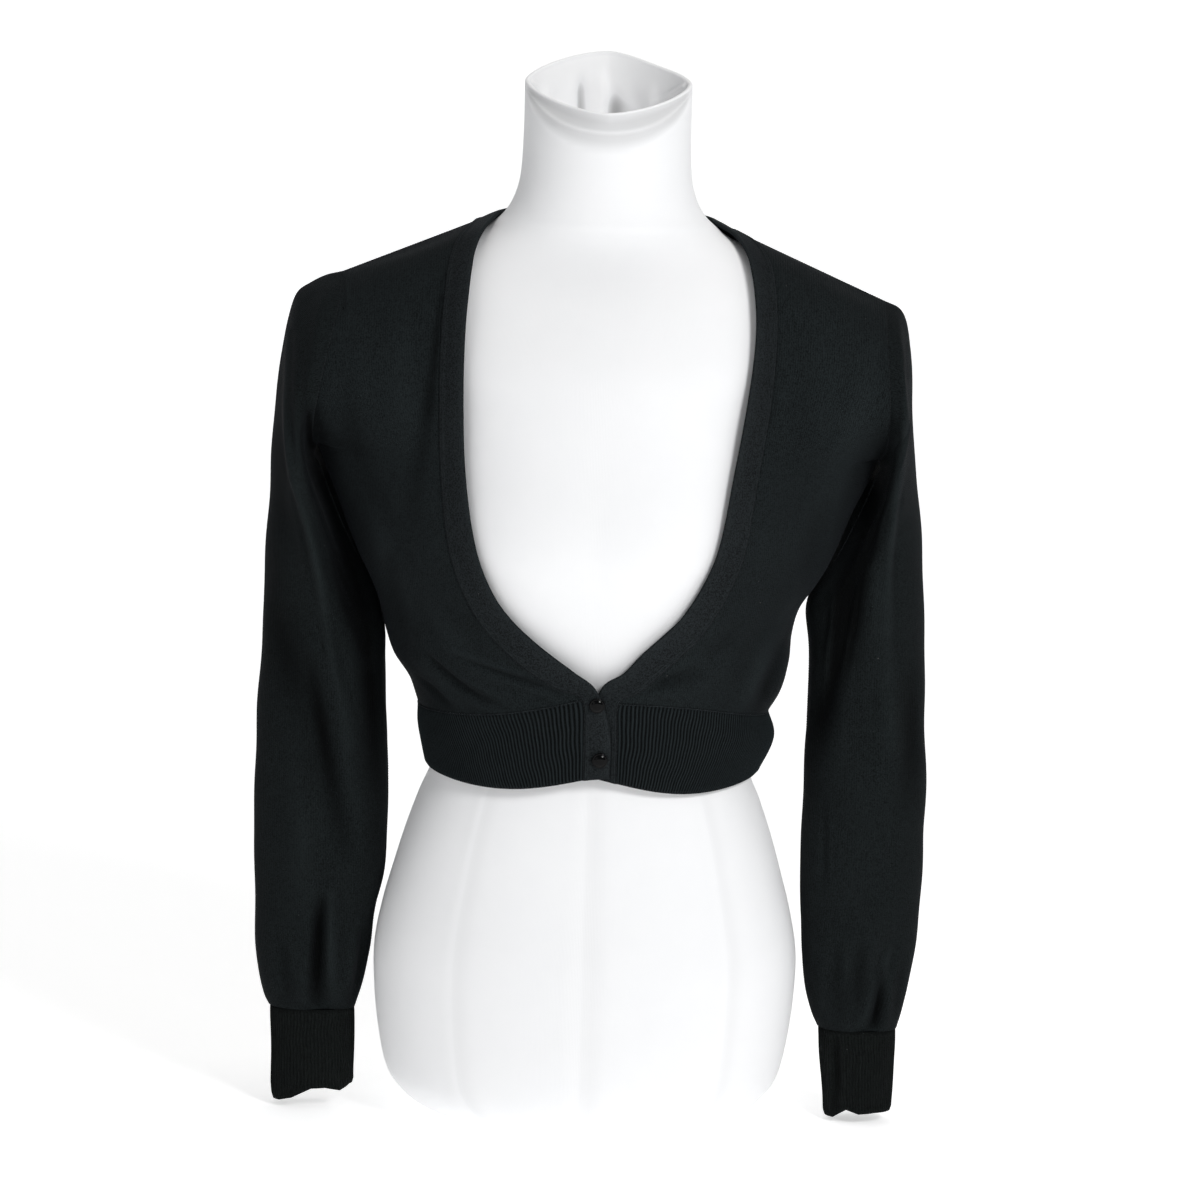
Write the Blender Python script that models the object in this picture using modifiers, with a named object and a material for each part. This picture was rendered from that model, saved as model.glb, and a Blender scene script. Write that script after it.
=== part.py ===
"""Knitted shrug worn by a limbless dress form.

Metres, +Z up. The front faces -Y and the wearer's right is -X. Tables are in millimetres.
"""
import math
from collections import namedtuple

import bmesh
import bpy
from mathutils import Vector

MM = 0.001


def named(columns, rows):
    """A table whose rows have named columns."""
    kind = namedtuple("Row", columns)
    return tuple(kind(*row) for row in rows)


# Cloth
WALL = 2.0              # jersey wall
SEAM_GAP = 0.3          # space left between pieces at a seam
BAND_WALL = 3.0         # folded neckband, two layers
BAND_PROUD = 0.5        # neckband outer face stands above the jersey
LINK_RIDGE = 0.7        # linked edge of the neckband, raised beside its seam
OVERLAP_LIFT = 3.4      # right front lies over the left by this much
LIFT_TOP = 384.0        # height where the right band starts to lift
LIFT_FULL = 352.0       # height where it lies fully over the left band

CENTRE_DROP = 40.0      # the inside that normals face away from lies this far below a point
WAIST_SEAM_DROP = 0.4   # waistband's top corner below the band's seam row

# Grid counts
LOW_ROWS = 10           # body rows from waistband to armpit
ARM_ROWS = 13           # body rows from armpit to shoulder seam
FRONT_COLUMNS = 10
BACK_COLUMNS = 9        # on each half of the back
CENTRE_ROWS = 6         # armhole rows that end on the centre back line
FORM_SIDES = 36
RIB_FRONT = 48          # waistband ribs on each front
RIB_BACK = 100
RIB_CUFF = 46
LINING_STEP = 4         # outer points to each point inside a ribbed waistband
RIB_HEIGHT = 0.8
CUFF_RIB_HEIGHT = 0.45
RIB_LEAN = 0.05         # upper rib ends sit this much further outward, as a share of the row

# Dress form, one row a level
FORM_RINGS = named("z half front back power", (
    (0, 108, 62, 66, 2.0),
    (4, 118, 72, 78, 2.0),
    (14, 132, 84, 94, 2.1),
    (33, 146, 94, 108, 2.2),
    (66, 153.5, 99, 116, 2.2),
    (101, 157, 100, 118, 2.2),
    (130, 157, 100, 117, 2.2),
    (160, 151.5, 98, 113, 2.2),
    (186, 144.5, 96, 107, 2.2),
    (215, 136, 94, 99, 2.2),
    (242, 126.5, 91, 90, 2.2),
    (263, 118, 89, 84.5, 2.2),
    (285, 116.5, 88, 82, 2.2),
    (312, 118.5, 91, 84, 2.2),
    (338, 122.5, 96, 88, 2.2),
    (364, 128, 103, 91, 2.2),
    (388, 132, 108.5, 94, 2.2),
    (412, 136.5, 113.5, 96, 2.2),
    (434, 140, 117, 97, 2.2),
    (462, 142, 115.5, 99, 2.2),
    (495, 143, 110.5, 99, 2.2),
    (530, 146, 106, 99, 2.2),
    (560, 153, 100, 98, 2.2),
    (582, 161, 90, 94, 2.1),
    (602, 165, 79, 87, 2.0),
    (616, 162, 70, 79, 2.0),
    (627, 153, 62, 71, 2.0),
    (635, 140, 56.5, 65.5, 2.0),
    (643, 122, 52, 61, 2.0),
    (651, 104, 49, 59, 2.0),
    (659, 88.5, 48, 58, 2.0),
    (665, 81, 48.5, 58.5, 2.0),
    (672, 73.5, 48.5, 58.5, 2.0),
    (683, 67, 49.5, 58, 2.0),
    (700, 62.5, 51.5, 57, 2.0),
    (730, 61, 53.5, 55.5, 2.0),
    (767, 61, 55, 55, 2.0),
))
BUST_X = 85.0
BUST_Z = 430.0
BUST_SPREAD = 45.0
BUST_RISE = 6.0
RIM_TILT = 22.0         # back of the neck rim above its middle, and the front as far below
RIM_BASE = 700.0        # the tilt grows from here
RIM_TOP = 767.0
NECK_RADIUS = 55.0
NECK_WALL = 5.0
NECK_ROUND = 2.0
RECESS_FLOOR = 722.0    # flat floor of the open neck top

# Front neckline and placket: free edge and seam, one row a station. X runs outward from the
# centre line on the wearer's own side, so a piece past the centre has a negative X.
NECKLINE_COLUMNS = "edge_x edge_z seam_x seam_z"
NECKLINE_RIGHT = named(NECKLINE_COLUMNS, (
    (-14.0, 271.5, 4.6, 269.5),
    (-14.2, 295.0, 4.6, 293.0),
    (-13.2, 314.0, 4.7, 310.0),
    (-9.8, 326.5, 5.1, 321.0),
    (-4.0, 335.0, 7.0, 329.0),
    (9.0, 346.0, 19.0, 333.8),
    (23.0, 356.0, 34.0, 341.0),
    (41.0, 369.5, 53.6, 354.0),
    (58.0, 384.5, 72.5, 371.0),
    (73.0, 404.0, 90.0, 394.5),
    (86.0, 436.0, 104.5, 431.0),
    (95.0, 488.0, 112.5, 486.0),
    (98.0, 542.0, 115.0, 541.5),
    (98.0, 589.0, 115.0, 588.0),
    (96.0, 622.0, 113.5, 618.0),
    (93.0, 647.0, 111.0, 640.0),
    (87.0, 661.5, 105.5, 654.0),
    (77.5, 671.5, 96.0, 663.9),
))
NECKLINE_LEFT = named(NECKLINE_COLUMNS, (
    (0.5, 271.5, 19.2, 267.0),
    (0.5, 293.0, 19.2, 293.0),
    (0.8, 312.0, 18.8, 308.0),
    (2.0, 325.0, 18.6, 318.5),
    (6.0, 336.0, 19.6, 326.3),
    (20.0, 346.5, 31.2, 332.6),
    (28.5, 356.0, 43.0, 342.5),
    (41.5, 369.5, 56.0, 355.0),
    (58.0, 384.5, 73.0, 371.5),
    (72.0, 404.0, 89.0, 394.3),
    (87.0, 436.0, 105.3, 430.5),
    (97.0, 488.0, 114.3, 485.0),
    (106.0, 542.0, 122.5, 539.7),
    (111.0, 589.0, 126.0, 588.0),
    (109.5, 622.0, 125.0, 617.0),
    (104.0, 647.0, 121.0, 640.0),
    (96.0, 659.5, 113.5, 652.5),
    (81.0, 668.5, 99.5, 660.5),
))
WAIST_STATION = 4       # neckline row at the top of the waistband
CHEST_STATION = 11      # neckline row level with the armpit
CHEST_DEPTH = named("z depth", (
    (255, 97.5),
    (271, 99.0),
    (300, 101.5),
    (323, 104.0),
    (346, 107.5),
    (370, 113.5),
    (404, 121.5),
    (436, 126.5),
    (465, 125.0),
    (500, 119.0),
))
CHEST_HALF = 156.0      # width that the front curves round
CHEST_POWER = 2.2
ARCH_START = 500.0      # the chest rolls over to the shoulder from here

# Back neck and centre back
BACK_NECK_EDGE = (68.0, 676.0)      # y and z of the free edge at the centre back
BACK_NECK_SEAM = (79.5, 659.8)
# Centre back: y and z
CENTRE_BACK_LOW = ((93.5, 317), (96, 340), (99.5, 370), (103, 405), (106.5, 445), (109, 486))
CENTRE_BACK_HIGH = ((109, 486), (109, 515), (107.5, 550), (105, 582), (100.5, 607), (94, 629),
                    (87, 645), (79.5, 659.8))
BACK_BULGE = 13.0       # fullness over the shoulder blades
BACK_DROOP = 14.0
CURVED_UNTIL = 40.0     # rows that start nearer the side than this follow the body's curve

# Side seams: x outward and z
SIDE_RIGHT = ((128.5, 309), (131, 321), (140, 334), (150.5, 351), (155, 370), (161, 390),
              (168, 406), (179, 427), (189, 453), (200, 480), (207, 497))
SIDE_LEFT = ((130.5, 309), (137, 321), (143, 334), (145.5, 351), (147, 370), (153, 390),
             (164, 406), (176, 427), (186, 453), (199, 480), (205.5, 497))
WAIST_POWER = 2.1
ARMPIT_POWER = 1.6

# Armholes, from the shoulder seam to the armpit: x outward, y, z
ARMHOLES = {
    "right": {
        "front": ((191, 0, 625), (190.8, -20, 617), (191, -37, 604), (193.5, -48, 589),
                  (197, -54.5, 572), (200.5, -57, 554), (204, -54, 536), (207, -45, 521),
                  (208.5, -32, 509.5), (208.5, -16, 500.5), (207, 0, 497)),
        "back": ((191, 0, 625), (190.8, 22, 616.5), (191, 41, 603), (193.5, 53, 588),
                 (196.5, 60, 571), (199.5, 62.5, 553), (202.5, 59.5, 536), (205.5, 50, 521),
                 (207.5, 36, 509.5), (208, 18, 500.5), (207, 0, 497)),
    },
    "left": {
        "front": ((208, 0, 613.5), (207, -20, 606.5), (206.5, -36, 595.5), (207, -47, 581.5),
                  (208, -53.5, 566), (209, -56.5, 549), (209.8, -54, 532.5), (210, -45, 518.5),
                  (209.5, -32, 508.5), (208, -16, 500.3), (205.5, 0, 497)),
        "back": ((208, 0, 613.5), (207, 22, 606), (206.5, 40, 594.5), (206.5, 52, 580.5),
                 (207, 59, 565), (207.5, 62, 548), (208, 59, 532), (208.5, 50, 518.5),
                 (208.5, 36, 508.5), (207.5, 18, 500.3), (205.5, 0, 497)),
    },
}

# Sleeves, one row a ring, fanning round the armpit: outer and inner point, half depths
SLEEVE_COLUMNS = "outer_x outer_z inner_x inner_z front back"
SLEEVES = {
    "right": named(SLEEVE_COLUMNS, (
        (191, 625, 207, 497, 58, 63),
        (203, 621.6, 211, 489.5, 57.5, 62),
        (214, 616, 212, 482, 57, 61),
        (224, 608, 210.5, 473, 56, 59),
        (230, 590, 206, 462, 54, 57),
        (234, 567, 199, 450, 51, 54),
        (238, 532, 189.5, 436, 47, 50),
        (241, 494, 178.5, 419, 43, 46),
        (242, 451, 166.5, 396, 39, 42),
        (244, 400, 158, 368, 36, 39),
        (245.5, 348, 153.5, 340, 33, 36),
        (248, 300, 152, 298, 31, 34),
        (248.5, 254, 149.5, 255, 30, 33),
        (248.5, 211, 149.5, 212, 29, 32),
        (248, 180, 151.5, 181, 28.5, 31),
        (247.5, 148, 157.5, 149, 28, 30),
        (246, 122, 160, 123, 27, 28),
        (243, 99, 164.5, 100, 25, 26),
        (239, 84, 168.5, 85, 22, 23),
        (235, 76, 171, 76, 19.5, 20.5),
    )),
    "left": named(SLEEVE_COLUMNS, (
        (208, 613.5, 205.5, 497, 57.5, 62),
        (216, 610, 209.5, 491, 57, 61),
        (221, 604, 211, 484, 56, 60),
        (224.5, 593, 209.5, 475, 54, 57),
        (226.5, 576, 205, 464, 51.5, 54),
        (228.5, 552, 198, 451.5, 48.5, 51),
        (230.5, 522, 189, 438, 45, 48),
        (234, 488, 179, 421.5, 41.5, 44.5),
        (238, 455, 168.5, 404.5, 39, 42),
        (242, 410, 161, 384, 36, 39),
        (245, 358, 159.5, 350, 33, 36),
        (247.5, 306, 159.5, 304, 31, 34),
        (250, 252, 159, 254, 30, 33),
        (249, 220, 158.5, 221, 29, 32),
        (250, 187, 158.5, 188, 28.5, 31),
        (248, 158, 160, 159, 28, 30),
        (246.5, 130, 161.5, 131, 27, 28),
        (242.5, 104, 164.5, 104, 25, 26),
        (237.5, 83, 170, 83, 23, 24),
        (234.5, 71, 175.5, 71, 21, 22),
    )),
}
CAP_BLEND = 6           # sleeve rings over which the armhole shape fades out
CAP_BOW = {"right": 4.0, "left": 7.0}      # front and back of the cap stand outward by this
CAP_BOW_ROWS = 9
RELAX_ROWS = 9          # rings eased below the armhole
RELAX_PASSES = 9
CAP_REACH = (1.0, 0.8, 0.4, 0.1)   # share of the cap's roundness by columns from the outer line
# The sleeve's underarm leans in behind the body's side: amount for each ring from the armhole
UNDERARM_TUCK = {
    "right": (0, 3, 10, 13, 13.5, 12, 9.5, 8, 7, 3),
    "left": (0, 3, 10, 14, 14.5, 13.5, 11, 9, 9.5, 5),
}
# Share of that amount by columns past the underarm line, towards the back
TUCK_REACH = named("past share", ((-1, 0.35), (0, 0.65), (1, 1.0), (2, 1.0), (3, 0.4)))

# Cuffs: ring centre and half sizes at the seam and the open end, then the end's height round it
CUFFS = {
    "right": {"top": (202.8, 75.6, 31.4, 19.5), "end": (201.3, 0, 30.3, 18.5),
              "edge": ((0, 4.5), (35, 5), (60, 8), (90, 16), (110, 16.5), (135, 14),
                       (160, 18), (180, 18), (240, 17), (300, 9), (360, 4.5))},
    "left": {"top": (205, 70.6, 28.8, 20.5), "end": (207.5, 0, 25.2, 19.5),
             "edge": ((0, 8.5), (60, 9), (90, 8), (112, 11), (140, 4), (180, 3.5),
                      (240, 6), (300, 8), (360, 8.5))},
}
CUFF_LEVELS = (0.0, 0.45, 1.0)

# Waistband, one row a level from the seam down: half widths and height at the side seams, how far
# the front rises above a straight run, and the centre back
WAISTBAND = named("right_x left_x side_z right_sag left_sag back_y back_z", (
    (128.5, 130.5, 308.6, -4.0, 4.0, 93.5, 316.6),
    (127.6, 134.8, 290.0, -2.0, 1.0, 95.0, 297.0),
    (121.8, 124.0, 263.5, -7.0, -7.0, 90.0, 262.0),
))
SIDE_SEAM_ROWS = 4      # panel rows over which the waistband's rise or sag fades out

# Folds in the cloth's front (-1) or back (1) face: ends, height (troughs negative), half width
FOLDS = named("face x0 z0 x1 z1 height width", (
    (-1, -226, 590, -224, 490, 4.0, 9),
    (-1, -224, 490, -205, 415, 4.5, 10),
    (-1, -205, 415, -192, 310, 3.5, 12),
    (-1, -207, 505, -182, 425, -3.5, 8),
    (-1, -196, 154, -193, 84, -5.0, 9),
    (-1, 209, 576, 219, 524, 3.5, 10),
    (-1, 219, 524, 216, 456, 4.0, 10),
    (-1, 206, 500, 182, 425, -3.5, 8),
    (-1, 229, 142, 213, 78, -4.5, 9),
    (-1, -92, 352, -40, 334, -2.5, 7),
    (-1, -122, 362, -72, 337, 2.5, 8),
    (-1, 52, 338, 98, 350, 2.0, 9),
    (-1, 142, 378, 120, 335, -2.5, 8),
    (1, -204, 500, -180, 420, -4.0, 10),
    (1, 204, 500, 180, 420, -4.0, 10),
    (1, -216, 560, -206, 430, 3.5, 12),
    (1, 216, 560, 208, 430, 3.5, 12),
    (1, -198, 150, -196, 84, -4.0, 9),
    (1, 206, 150, 204, 80, -4.0, 9),
))

# Buttons: centre on the placket
BUTTONS = {"button_upper": (4.0, 325.8), "button_lower": (7.0, 285.2)}
BUTTON_RADIUS = 5.6
BUTTON_HEIGHT = 3.2
BUTTON_EDGE = 1.2
BUTTON_CHAMFER = 0.6
BUTTON_STAND = 0.7      # from the band's face
BUTTON_SIDES = 20
DOME_STEPS = 4

SIDES = {"right": -1, "left": 1}
COLLECTION = "knitted_shrug"

# Colours and roughness
KNIT = (0.012, 0.013, 0.014)
JERSEY_ROUGHNESS = 0.92
BAND_ROUGHNESS = 0.9
FORM_WHITE = (0.86, 0.86, 0.87)
FORM_ROUGHNESS = 0.85
BUTTON_BLACK = (0.008, 0.008, 0.009)
BUTTON_ROUGHNESS = 0.18


# ---------------------------------------------------------------- curves and tables

class Track:
    """A smooth curve through placed points, read by its share of the length."""

    def __init__(self, points):
        self.points = [Vector(point) for point in points]
        self.marks = [0.0]
        for start, end in zip(self.points, self.points[1:]):
            self.marks.append(self.marks[-1] + (end - start).length)

    def share(self, index):
        return self.marks[index] / self.marks[-1]

    def slope(self, index):
        before = max(index - 1, 0)
        after = min(index + 1, len(self.points) - 1)
        return (self.points[after] - self.points[before]) / (self.marks[after] - self.marks[before])

    def at(self, share):
        goal = min(max(share, 0.0), 1.0) * self.marks[-1]
        index = 0
        while index < len(self.points) - 2 and self.marks[index + 1] < goal:
            index += 1
        span = self.marks[index + 1] - self.marks[index]
        u = (goal - self.marks[index]) / span
        start, end = self.points[index], self.points[index + 1]
        leave, arrive = self.slope(index) * span, self.slope(index + 1) * span
        return (start * (2 * u ** 3 - 3 * u ** 2 + 1) + leave * (u ** 3 - 2 * u ** 2 + u)
                + end * (3 * u ** 2 - 2 * u ** 3) + arrive * (u ** 3 - u ** 2))


def read(table, key):
    """Second column of a table at a value of the first, in straight steps."""
    if key <= table[0][0]:
        return table[0][1]
    for (low, first), (high, second) in zip(table, table[1:]):
        if key <= high:
            return first + (second - first) * (key - low) / (high - low)
    return table[-1][1]


def smooth_step(value):
    value = min(max(value, 0.0), 1.0)
    return value * value * (3 - 2 * value)


def superellipse(angle, power):
    """Unit superellipse: cosine and sine sides."""
    c, s = math.cos(angle), math.sin(angle)
    return (math.copysign(abs(c) ** (2 / power), c), math.copysign(abs(s) ** (2 / power), s))


# ---------------------------------------------------------------- meshes

def link_object(name, data, colour, roughness):
    """Put a mesh in the collection as a named object with its own material."""
    material = bpy.data.materials.new(name)
    material.use_nodes = True
    shader = material.node_tree.nodes["Principled BSDF"]
    shader.inputs["Base Color"].default_value = (*colour, 1.0)
    shader.inputs["Roughness"].default_value = roughness
    shader.inputs["Metallic"].default_value = 0.0
    data.materials.append(material)
    item = bpy.data.objects.new(name, data)
    bpy.data.collections[COLLECTION].objects.link(item)
    return item


def make_object(name, mesh, colour, roughness):
    """Turn a bmesh in millimetres into a named object with its own material."""
    bmesh.ops.recalc_face_normals(mesh, faces=mesh.faces)
    bmesh.ops.scale(mesh, vec=Vector((MM, MM, MM)), verts=mesh.verts)
    data = bpy.data.meshes.new(name)
    mesh.to_mesh(data)
    mesh.free()
    for face in data.polygons:
        face.use_smooth = True
    return link_object(name, data, colour, roughness)


def grid_normals(grid, closed, centre):
    """Unit normals of a grid of points, all on the side that faces away from the centre."""
    normals = []
    rows = len(grid)
    for j, row in enumerate(grid):
        count = len(row)
        line = []
        for k, point in enumerate(row):
            up = grid[min(j + 1, rows - 1)][k] - grid[max(j - 1, 0)][k]
            if closed:
                across = row[(k + 1) % count] - row[k - 1]
            else:
                across = row[min(k + 1, count - 1)] - row[max(k - 1, 0)]
            line.append(across.cross(up).normalized())
        normals.append(line)
    j, k = rows // 2, len(grid[0]) // 3
    if normals[j][k].dot(grid[j][k] - centre(j, grid[j][k])) < 0:
        normals = [[-normal for normal in line] for line in normals]
    return normals


def body_centre(_, point):
    """A place inside the body below a point, so that normals face out and a little up."""
    return Vector((0.6 * point.x, 0.0, point.z - CENTRE_DROP))


def folded(grid, normals):
    """Push a grid's points out and in along the table of folds."""
    result = []
    for row, line in zip(grid, normals):
        moved = []
        for point, normal in zip(row, line):
            rise = 0.0
            for fold in FOLDS:
                if fold.face * normal.y <= 0:
                    continue
                run = Vector((fold.x1 - fold.x0, fold.z1 - fold.z0))
                offset = Vector((point.x - fold.x0, point.z - fold.z0))
                along = min(max(offset.dot(run) / run.length_squared, 0.0), 1.0)
                distance = (offset - run * along).length
                rise += fold.height * math.exp(-(distance / fold.width) ** 2)
            moved.append(point + normal * rise * abs(normal.y))
        result.append(moved)
    return result


def inner_grid(grid, normals, thickness=WALL):
    return [[point - normal * thickness for point, normal in zip(row, line)]
            for row, line in zip(grid, normals)]


def loft_shell(patches, closed=False):
    """A wall between matching outer and inner grids; patches share their common points."""
    mesh = bmesh.new()
    found = {}
    partner = {}

    def vertex(point):
        key = tuple(round(value, 4) for value in point)
        if key not in found:
            found[key] = mesh.verts.new(point)
        return found[key]

    def quads(grid):
        for lower, upper in zip(grid, grid[1:]):
            count = len(lower)
            for k in range(count if closed else count - 1):
                n = (k + 1) % count
                mesh.faces.new((lower[k], lower[n], upper[n], upper[k]))

    for outer, inner in patches:
        skin = [[vertex(point) for point in row] for row in outer]
        lining = [[vertex(point) for point in row] for row in inner]
        for skin_row, lining_row in zip(skin, lining):
            partner.update(zip(skin_row, lining_row))
        quads(skin)
        quads(lining)
    rims = [edge for edge in mesh.edges if edge.is_boundary and edge.verts[0] in partner]
    for edge in rims:
        a, b = edge.verts
        mesh.faces.new((a, b, partner[b], partner[a]))
    return mesh


def stitch(mesh, first, second, closed):
    """Triangles between two lines of points with unlike counts."""
    if closed:
        first = first + first[:1]
        second = second + second[:1]
    i = j = 0
    while i < len(first) - 1 or j < len(second) - 1:
        if (i + 0.5) / (len(first) - 1) <= (j + 0.5) / (len(second) - 1):
            mesh.faces.new((first[i], first[i + 1], second[j]))
            i += 1
        else:
            mesh.faces.new((first[i], second[j + 1], second[j]))
            j += 1


def ribbed_wall(outer, inner, closed):
    """A wall between a finely ribbed outer grid and a plain inner one."""
    mesh = bmesh.new()
    sides = []
    for grid in (outer, inner):
        verts = [[mesh.verts.new(point) for point in row] for row in grid]
        for lower, upper in zip(verts, verts[1:]):
            count = len(lower)
            for k in range(count if closed else count - 1):
                n = (k + 1) % count
                mesh.faces.new((lower[k], lower[n], upper[n], upper[k]))
        sides.append(verts)
    skin, lining = sides
    stitch(mesh, skin[0], lining[0], closed)
    stitch(mesh, skin[-1], lining[-1], closed)
    if not closed:
        for end in (0, -1):
            stitch(mesh, [row[end] for row in skin], [row[end] for row in lining], False)
    return mesh


# ---------------------------------------------------------------- dress form

def build_form():
    rings = []
    for level in FORM_RINGS:
        z = level.z
        tilt = RIM_TILT * smooth_step((z - RIM_BASE) / (RIM_TOP - RIM_BASE))
        ring = []
        for k in range(FORM_SIDES):
            c, s = superellipse(2 * math.pi * k / FORM_SIDES, level.power)
            x = level.half * c
            y = (level.back if s > 0 else level.front) * s
            if s < 0:
                bust = ((abs(x) - BUST_X) ** 2 + (z - BUST_Z) ** 2) / (2 * BUST_SPREAD ** 2)
                y -= BUST_RISE * math.exp(-bust) * abs(s)
            ring.append(Vector((x, y, z + tilt * y / level.front)))
        rings.append(ring)
    rim = rings[-1]
    for inset, rise in ((NECK_ROUND, NECK_ROUND), (NECK_WALL, 0.0)):
        shrink = 1 - inset / NECK_RADIUS
        rings.append([Vector((p.x * shrink, p.y * shrink, p.z + rise)) for p in rim])
    floor = 1 - (NECK_WALL + NECK_ROUND) / NECK_RADIUS
    rings.append([Vector((p.x * floor, p.y * floor, RECESS_FLOOR)) for p in rim])
    mesh = bmesh.new()
    verts = [[mesh.verts.new(p) for p in ring] for ring in rings]
    for lower, upper in zip(verts, verts[1:]):
        for k in range(FORM_SIDES):
            n = (k + 1) % FORM_SIDES
            mesh.faces.new((lower[k], lower[n], upper[n], upper[k]))
    mesh.faces.new(verts[0])
    mesh.faces.new(verts[-1])
    make_object("dress_form", mesh, FORM_WHITE, FORM_ROUGHNESS)


# ---------------------------------------------------------------- neckline and band

def shoulder_line(side):
    """Height of the shoulder seam line at an outward X."""
    table = NECKLINE_RIGHT if side == "right" else NECKLINE_LEFT
    neck_x, neck_z = table[-1][0], table[-1][1]
    tip_x, _, tip_z = ARMHOLES[side]["front"][0]
    slope = (tip_z - neck_z) / (tip_x - neck_x)
    return lambda x: neck_z + slope * (x - neck_x)


def chest_point(side, x, z):
    """Point of the cloth's front at an outward X and a height."""
    depth = read(CHEST_DEPTH, z)
    reach = max(1 - (abs(x) / CHEST_HALF) ** CHEST_POWER, 0.0) ** (1 / CHEST_POWER)
    top = shoulder_line(side)(x)
    if z > ARCH_START:
        rise = min((z - ARCH_START) / (top - ARCH_START), 1.0)
        reach *= (1 - rise ** CHEST_POWER) ** (1 / CHEST_POWER)
    lift = 0.0
    if side == "right":
        lift = OVERLAP_LIFT * smooth_step((LIFT_TOP - z) / (LIFT_TOP - LIFT_FULL))
    return Vector((SIDES[side] * x, -(depth * reach + lift), min(z, top)))


class Neckline:
    """One half of the neckline, hem to shoulder: free edge and seam on the cloth's face."""

    def __init__(self, side):
        self.side = side
        self.track = Track(NECKLINE_RIGHT if side == "right" else NECKLINE_LEFT)

    def at(self, share, across):
        edge_x, edge_z, seam_x, seam_z = self.track.at(share)
        x = edge_x + (seam_x - edge_x) * across
        z = edge_z + (seam_z - edge_z) * across
        if share >= 1.0:
            return Vector((SIDES[self.side] * x, 0.0, shoulder_line(self.side)(x)))
        return chest_point(self.side, x, z)

    def waist_share(self):
        return self.track.share(WAIST_STATION)

    def panel_shares(self):
        """Shares of the front panel's rows, waistband to shoulder."""
        low, chest = self.waist_share(), self.track.share(CHEST_STATION)
        shares = [low + (chest - low) * j / LOW_ROWS for j in range(LOW_ROWS)]
        shares += [chest + (1.0 - chest) * j / ARM_ROWS for j in range(ARM_ROWS + 1)]
        return shares

    def placket_shares(self):
        """Shares of the waistband's rows, hem first."""
        low = self.waist_share()
        levels = len(WAISTBAND) - 1
        return [low * j / levels for j in range(levels)]


def back_neck(side, turn, across):
    """Point of the back neckband; turn runs 0 at the shoulder to 1 at the centre back."""
    table = NECKLINE_RIGHT if side == "right" else NECKLINE_LEFT
    angle = math.pi / 2 * turn
    edge_x, edge_z, seam_x, seam_z = table[-1]
    edge = Vector((edge_x * math.cos(angle), BACK_NECK_EDGE[0] * math.sin(angle),
                   edge_z + (BACK_NECK_EDGE[1] - edge_z) * math.sin(angle)))
    seam_z = shoulder_line(side)(seam_x)
    seam = Vector((seam_x * math.cos(angle), BACK_NECK_SEAM[0] * math.sin(angle),
                   seam_z + (BACK_NECK_SEAM[1] - seam_z) * math.sin(angle)))
    point = edge.lerp(seam, across)
    point.x *= SIDES[side]
    return point


def band_stations():
    """Section makers of the neckband in order, right hem to left hem."""
    right, left = Neckline("right"), Neckline("left")
    turns = ARM_ROWS - CENTRE_ROWS
    stations = []
    for line, side in ((right, "right"), (left, "left")):
        half = [("front", side, share) for share in line.placket_shares() + line.panel_shares()]
        half += [("back", side, j / turns) for j in range(1, turns + 1)]
        stations.append(half)
    stations[1].pop()
    return stations[0] + stations[1][::-1]


def band_point(station, across):
    kind, side, share = station
    if kind == "front":
        return Neckline(side).at(share, across)
    return back_neck(side, share, across)


def band_frames():
    """Normal and outward across-direction at each station, keyed by the station."""
    stations = band_stations()
    frames = {}
    for index, station in enumerate(stations):
        before = stations[max(index - 1, 0)]
        after = stations[min(index + 1, len(stations) - 1)]
        along = band_point(after, 0.5) - band_point(before, 0.5)
        across = (band_point(station, 1.0) - band_point(station, 0.0)).normalized()
        normal = along.cross(across).normalized()
        middle = band_point(station, 0.5)
        if normal.dot(middle - Vector((0, 0, middle.z - CENTRE_DROP))) < 0:
            normal.negate()
        frames[station] = (normal, across)
    return frames


# Across the band from seam to free edge and back inside: share of width, height over the face
BAND_SECTION = (
    (1.0, 0.0), (0.9, LINK_RIDGE), (0.8, 0.0), (0.45, 0.1), (0.06, -0.25),
    (0.0, -BAND_WALL / 2), (0.06, 0.25 - BAND_WALL), (0.45, -BAND_WALL), (1.0, -BAND_WALL),
)


def build_band(frames):
    mesh = bmesh.new()
    rings = []
    for station in band_stations():
        normal, _ = frames[station]
        ring = []
        for share, height in BAND_SECTION:
            point = band_point(station, share) + normal * (BAND_PROUD + height)
            ring.append(mesh.verts.new(point))
        rings.append(ring)
    count = len(BAND_SECTION)
    for lower, upper in zip(rings, rings[1:]):
        for k in range(count):
            n = (k + 1) % count
            mesh.faces.new((lower[k], lower[n], upper[n], upper[k]))
    mesh.faces.new(rings[0])
    mesh.faces.new(rings[-1])
    make_object("neckband", mesh, KNIT, BAND_ROUGHNESS)


def seam_point(station, frames):
    """Where a panel meets the band: the band's seam, one gap further out."""
    normal, across = frames[station]
    return band_point(station, 1.0) + across * SEAM_GAP


# ---------------------------------------------------------------- body panels

def waist_sag(side, row):
    """How far a waistband row rises above the straight line from side to placket."""
    return row.right_sag if side == "right" else row.left_sag


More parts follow.
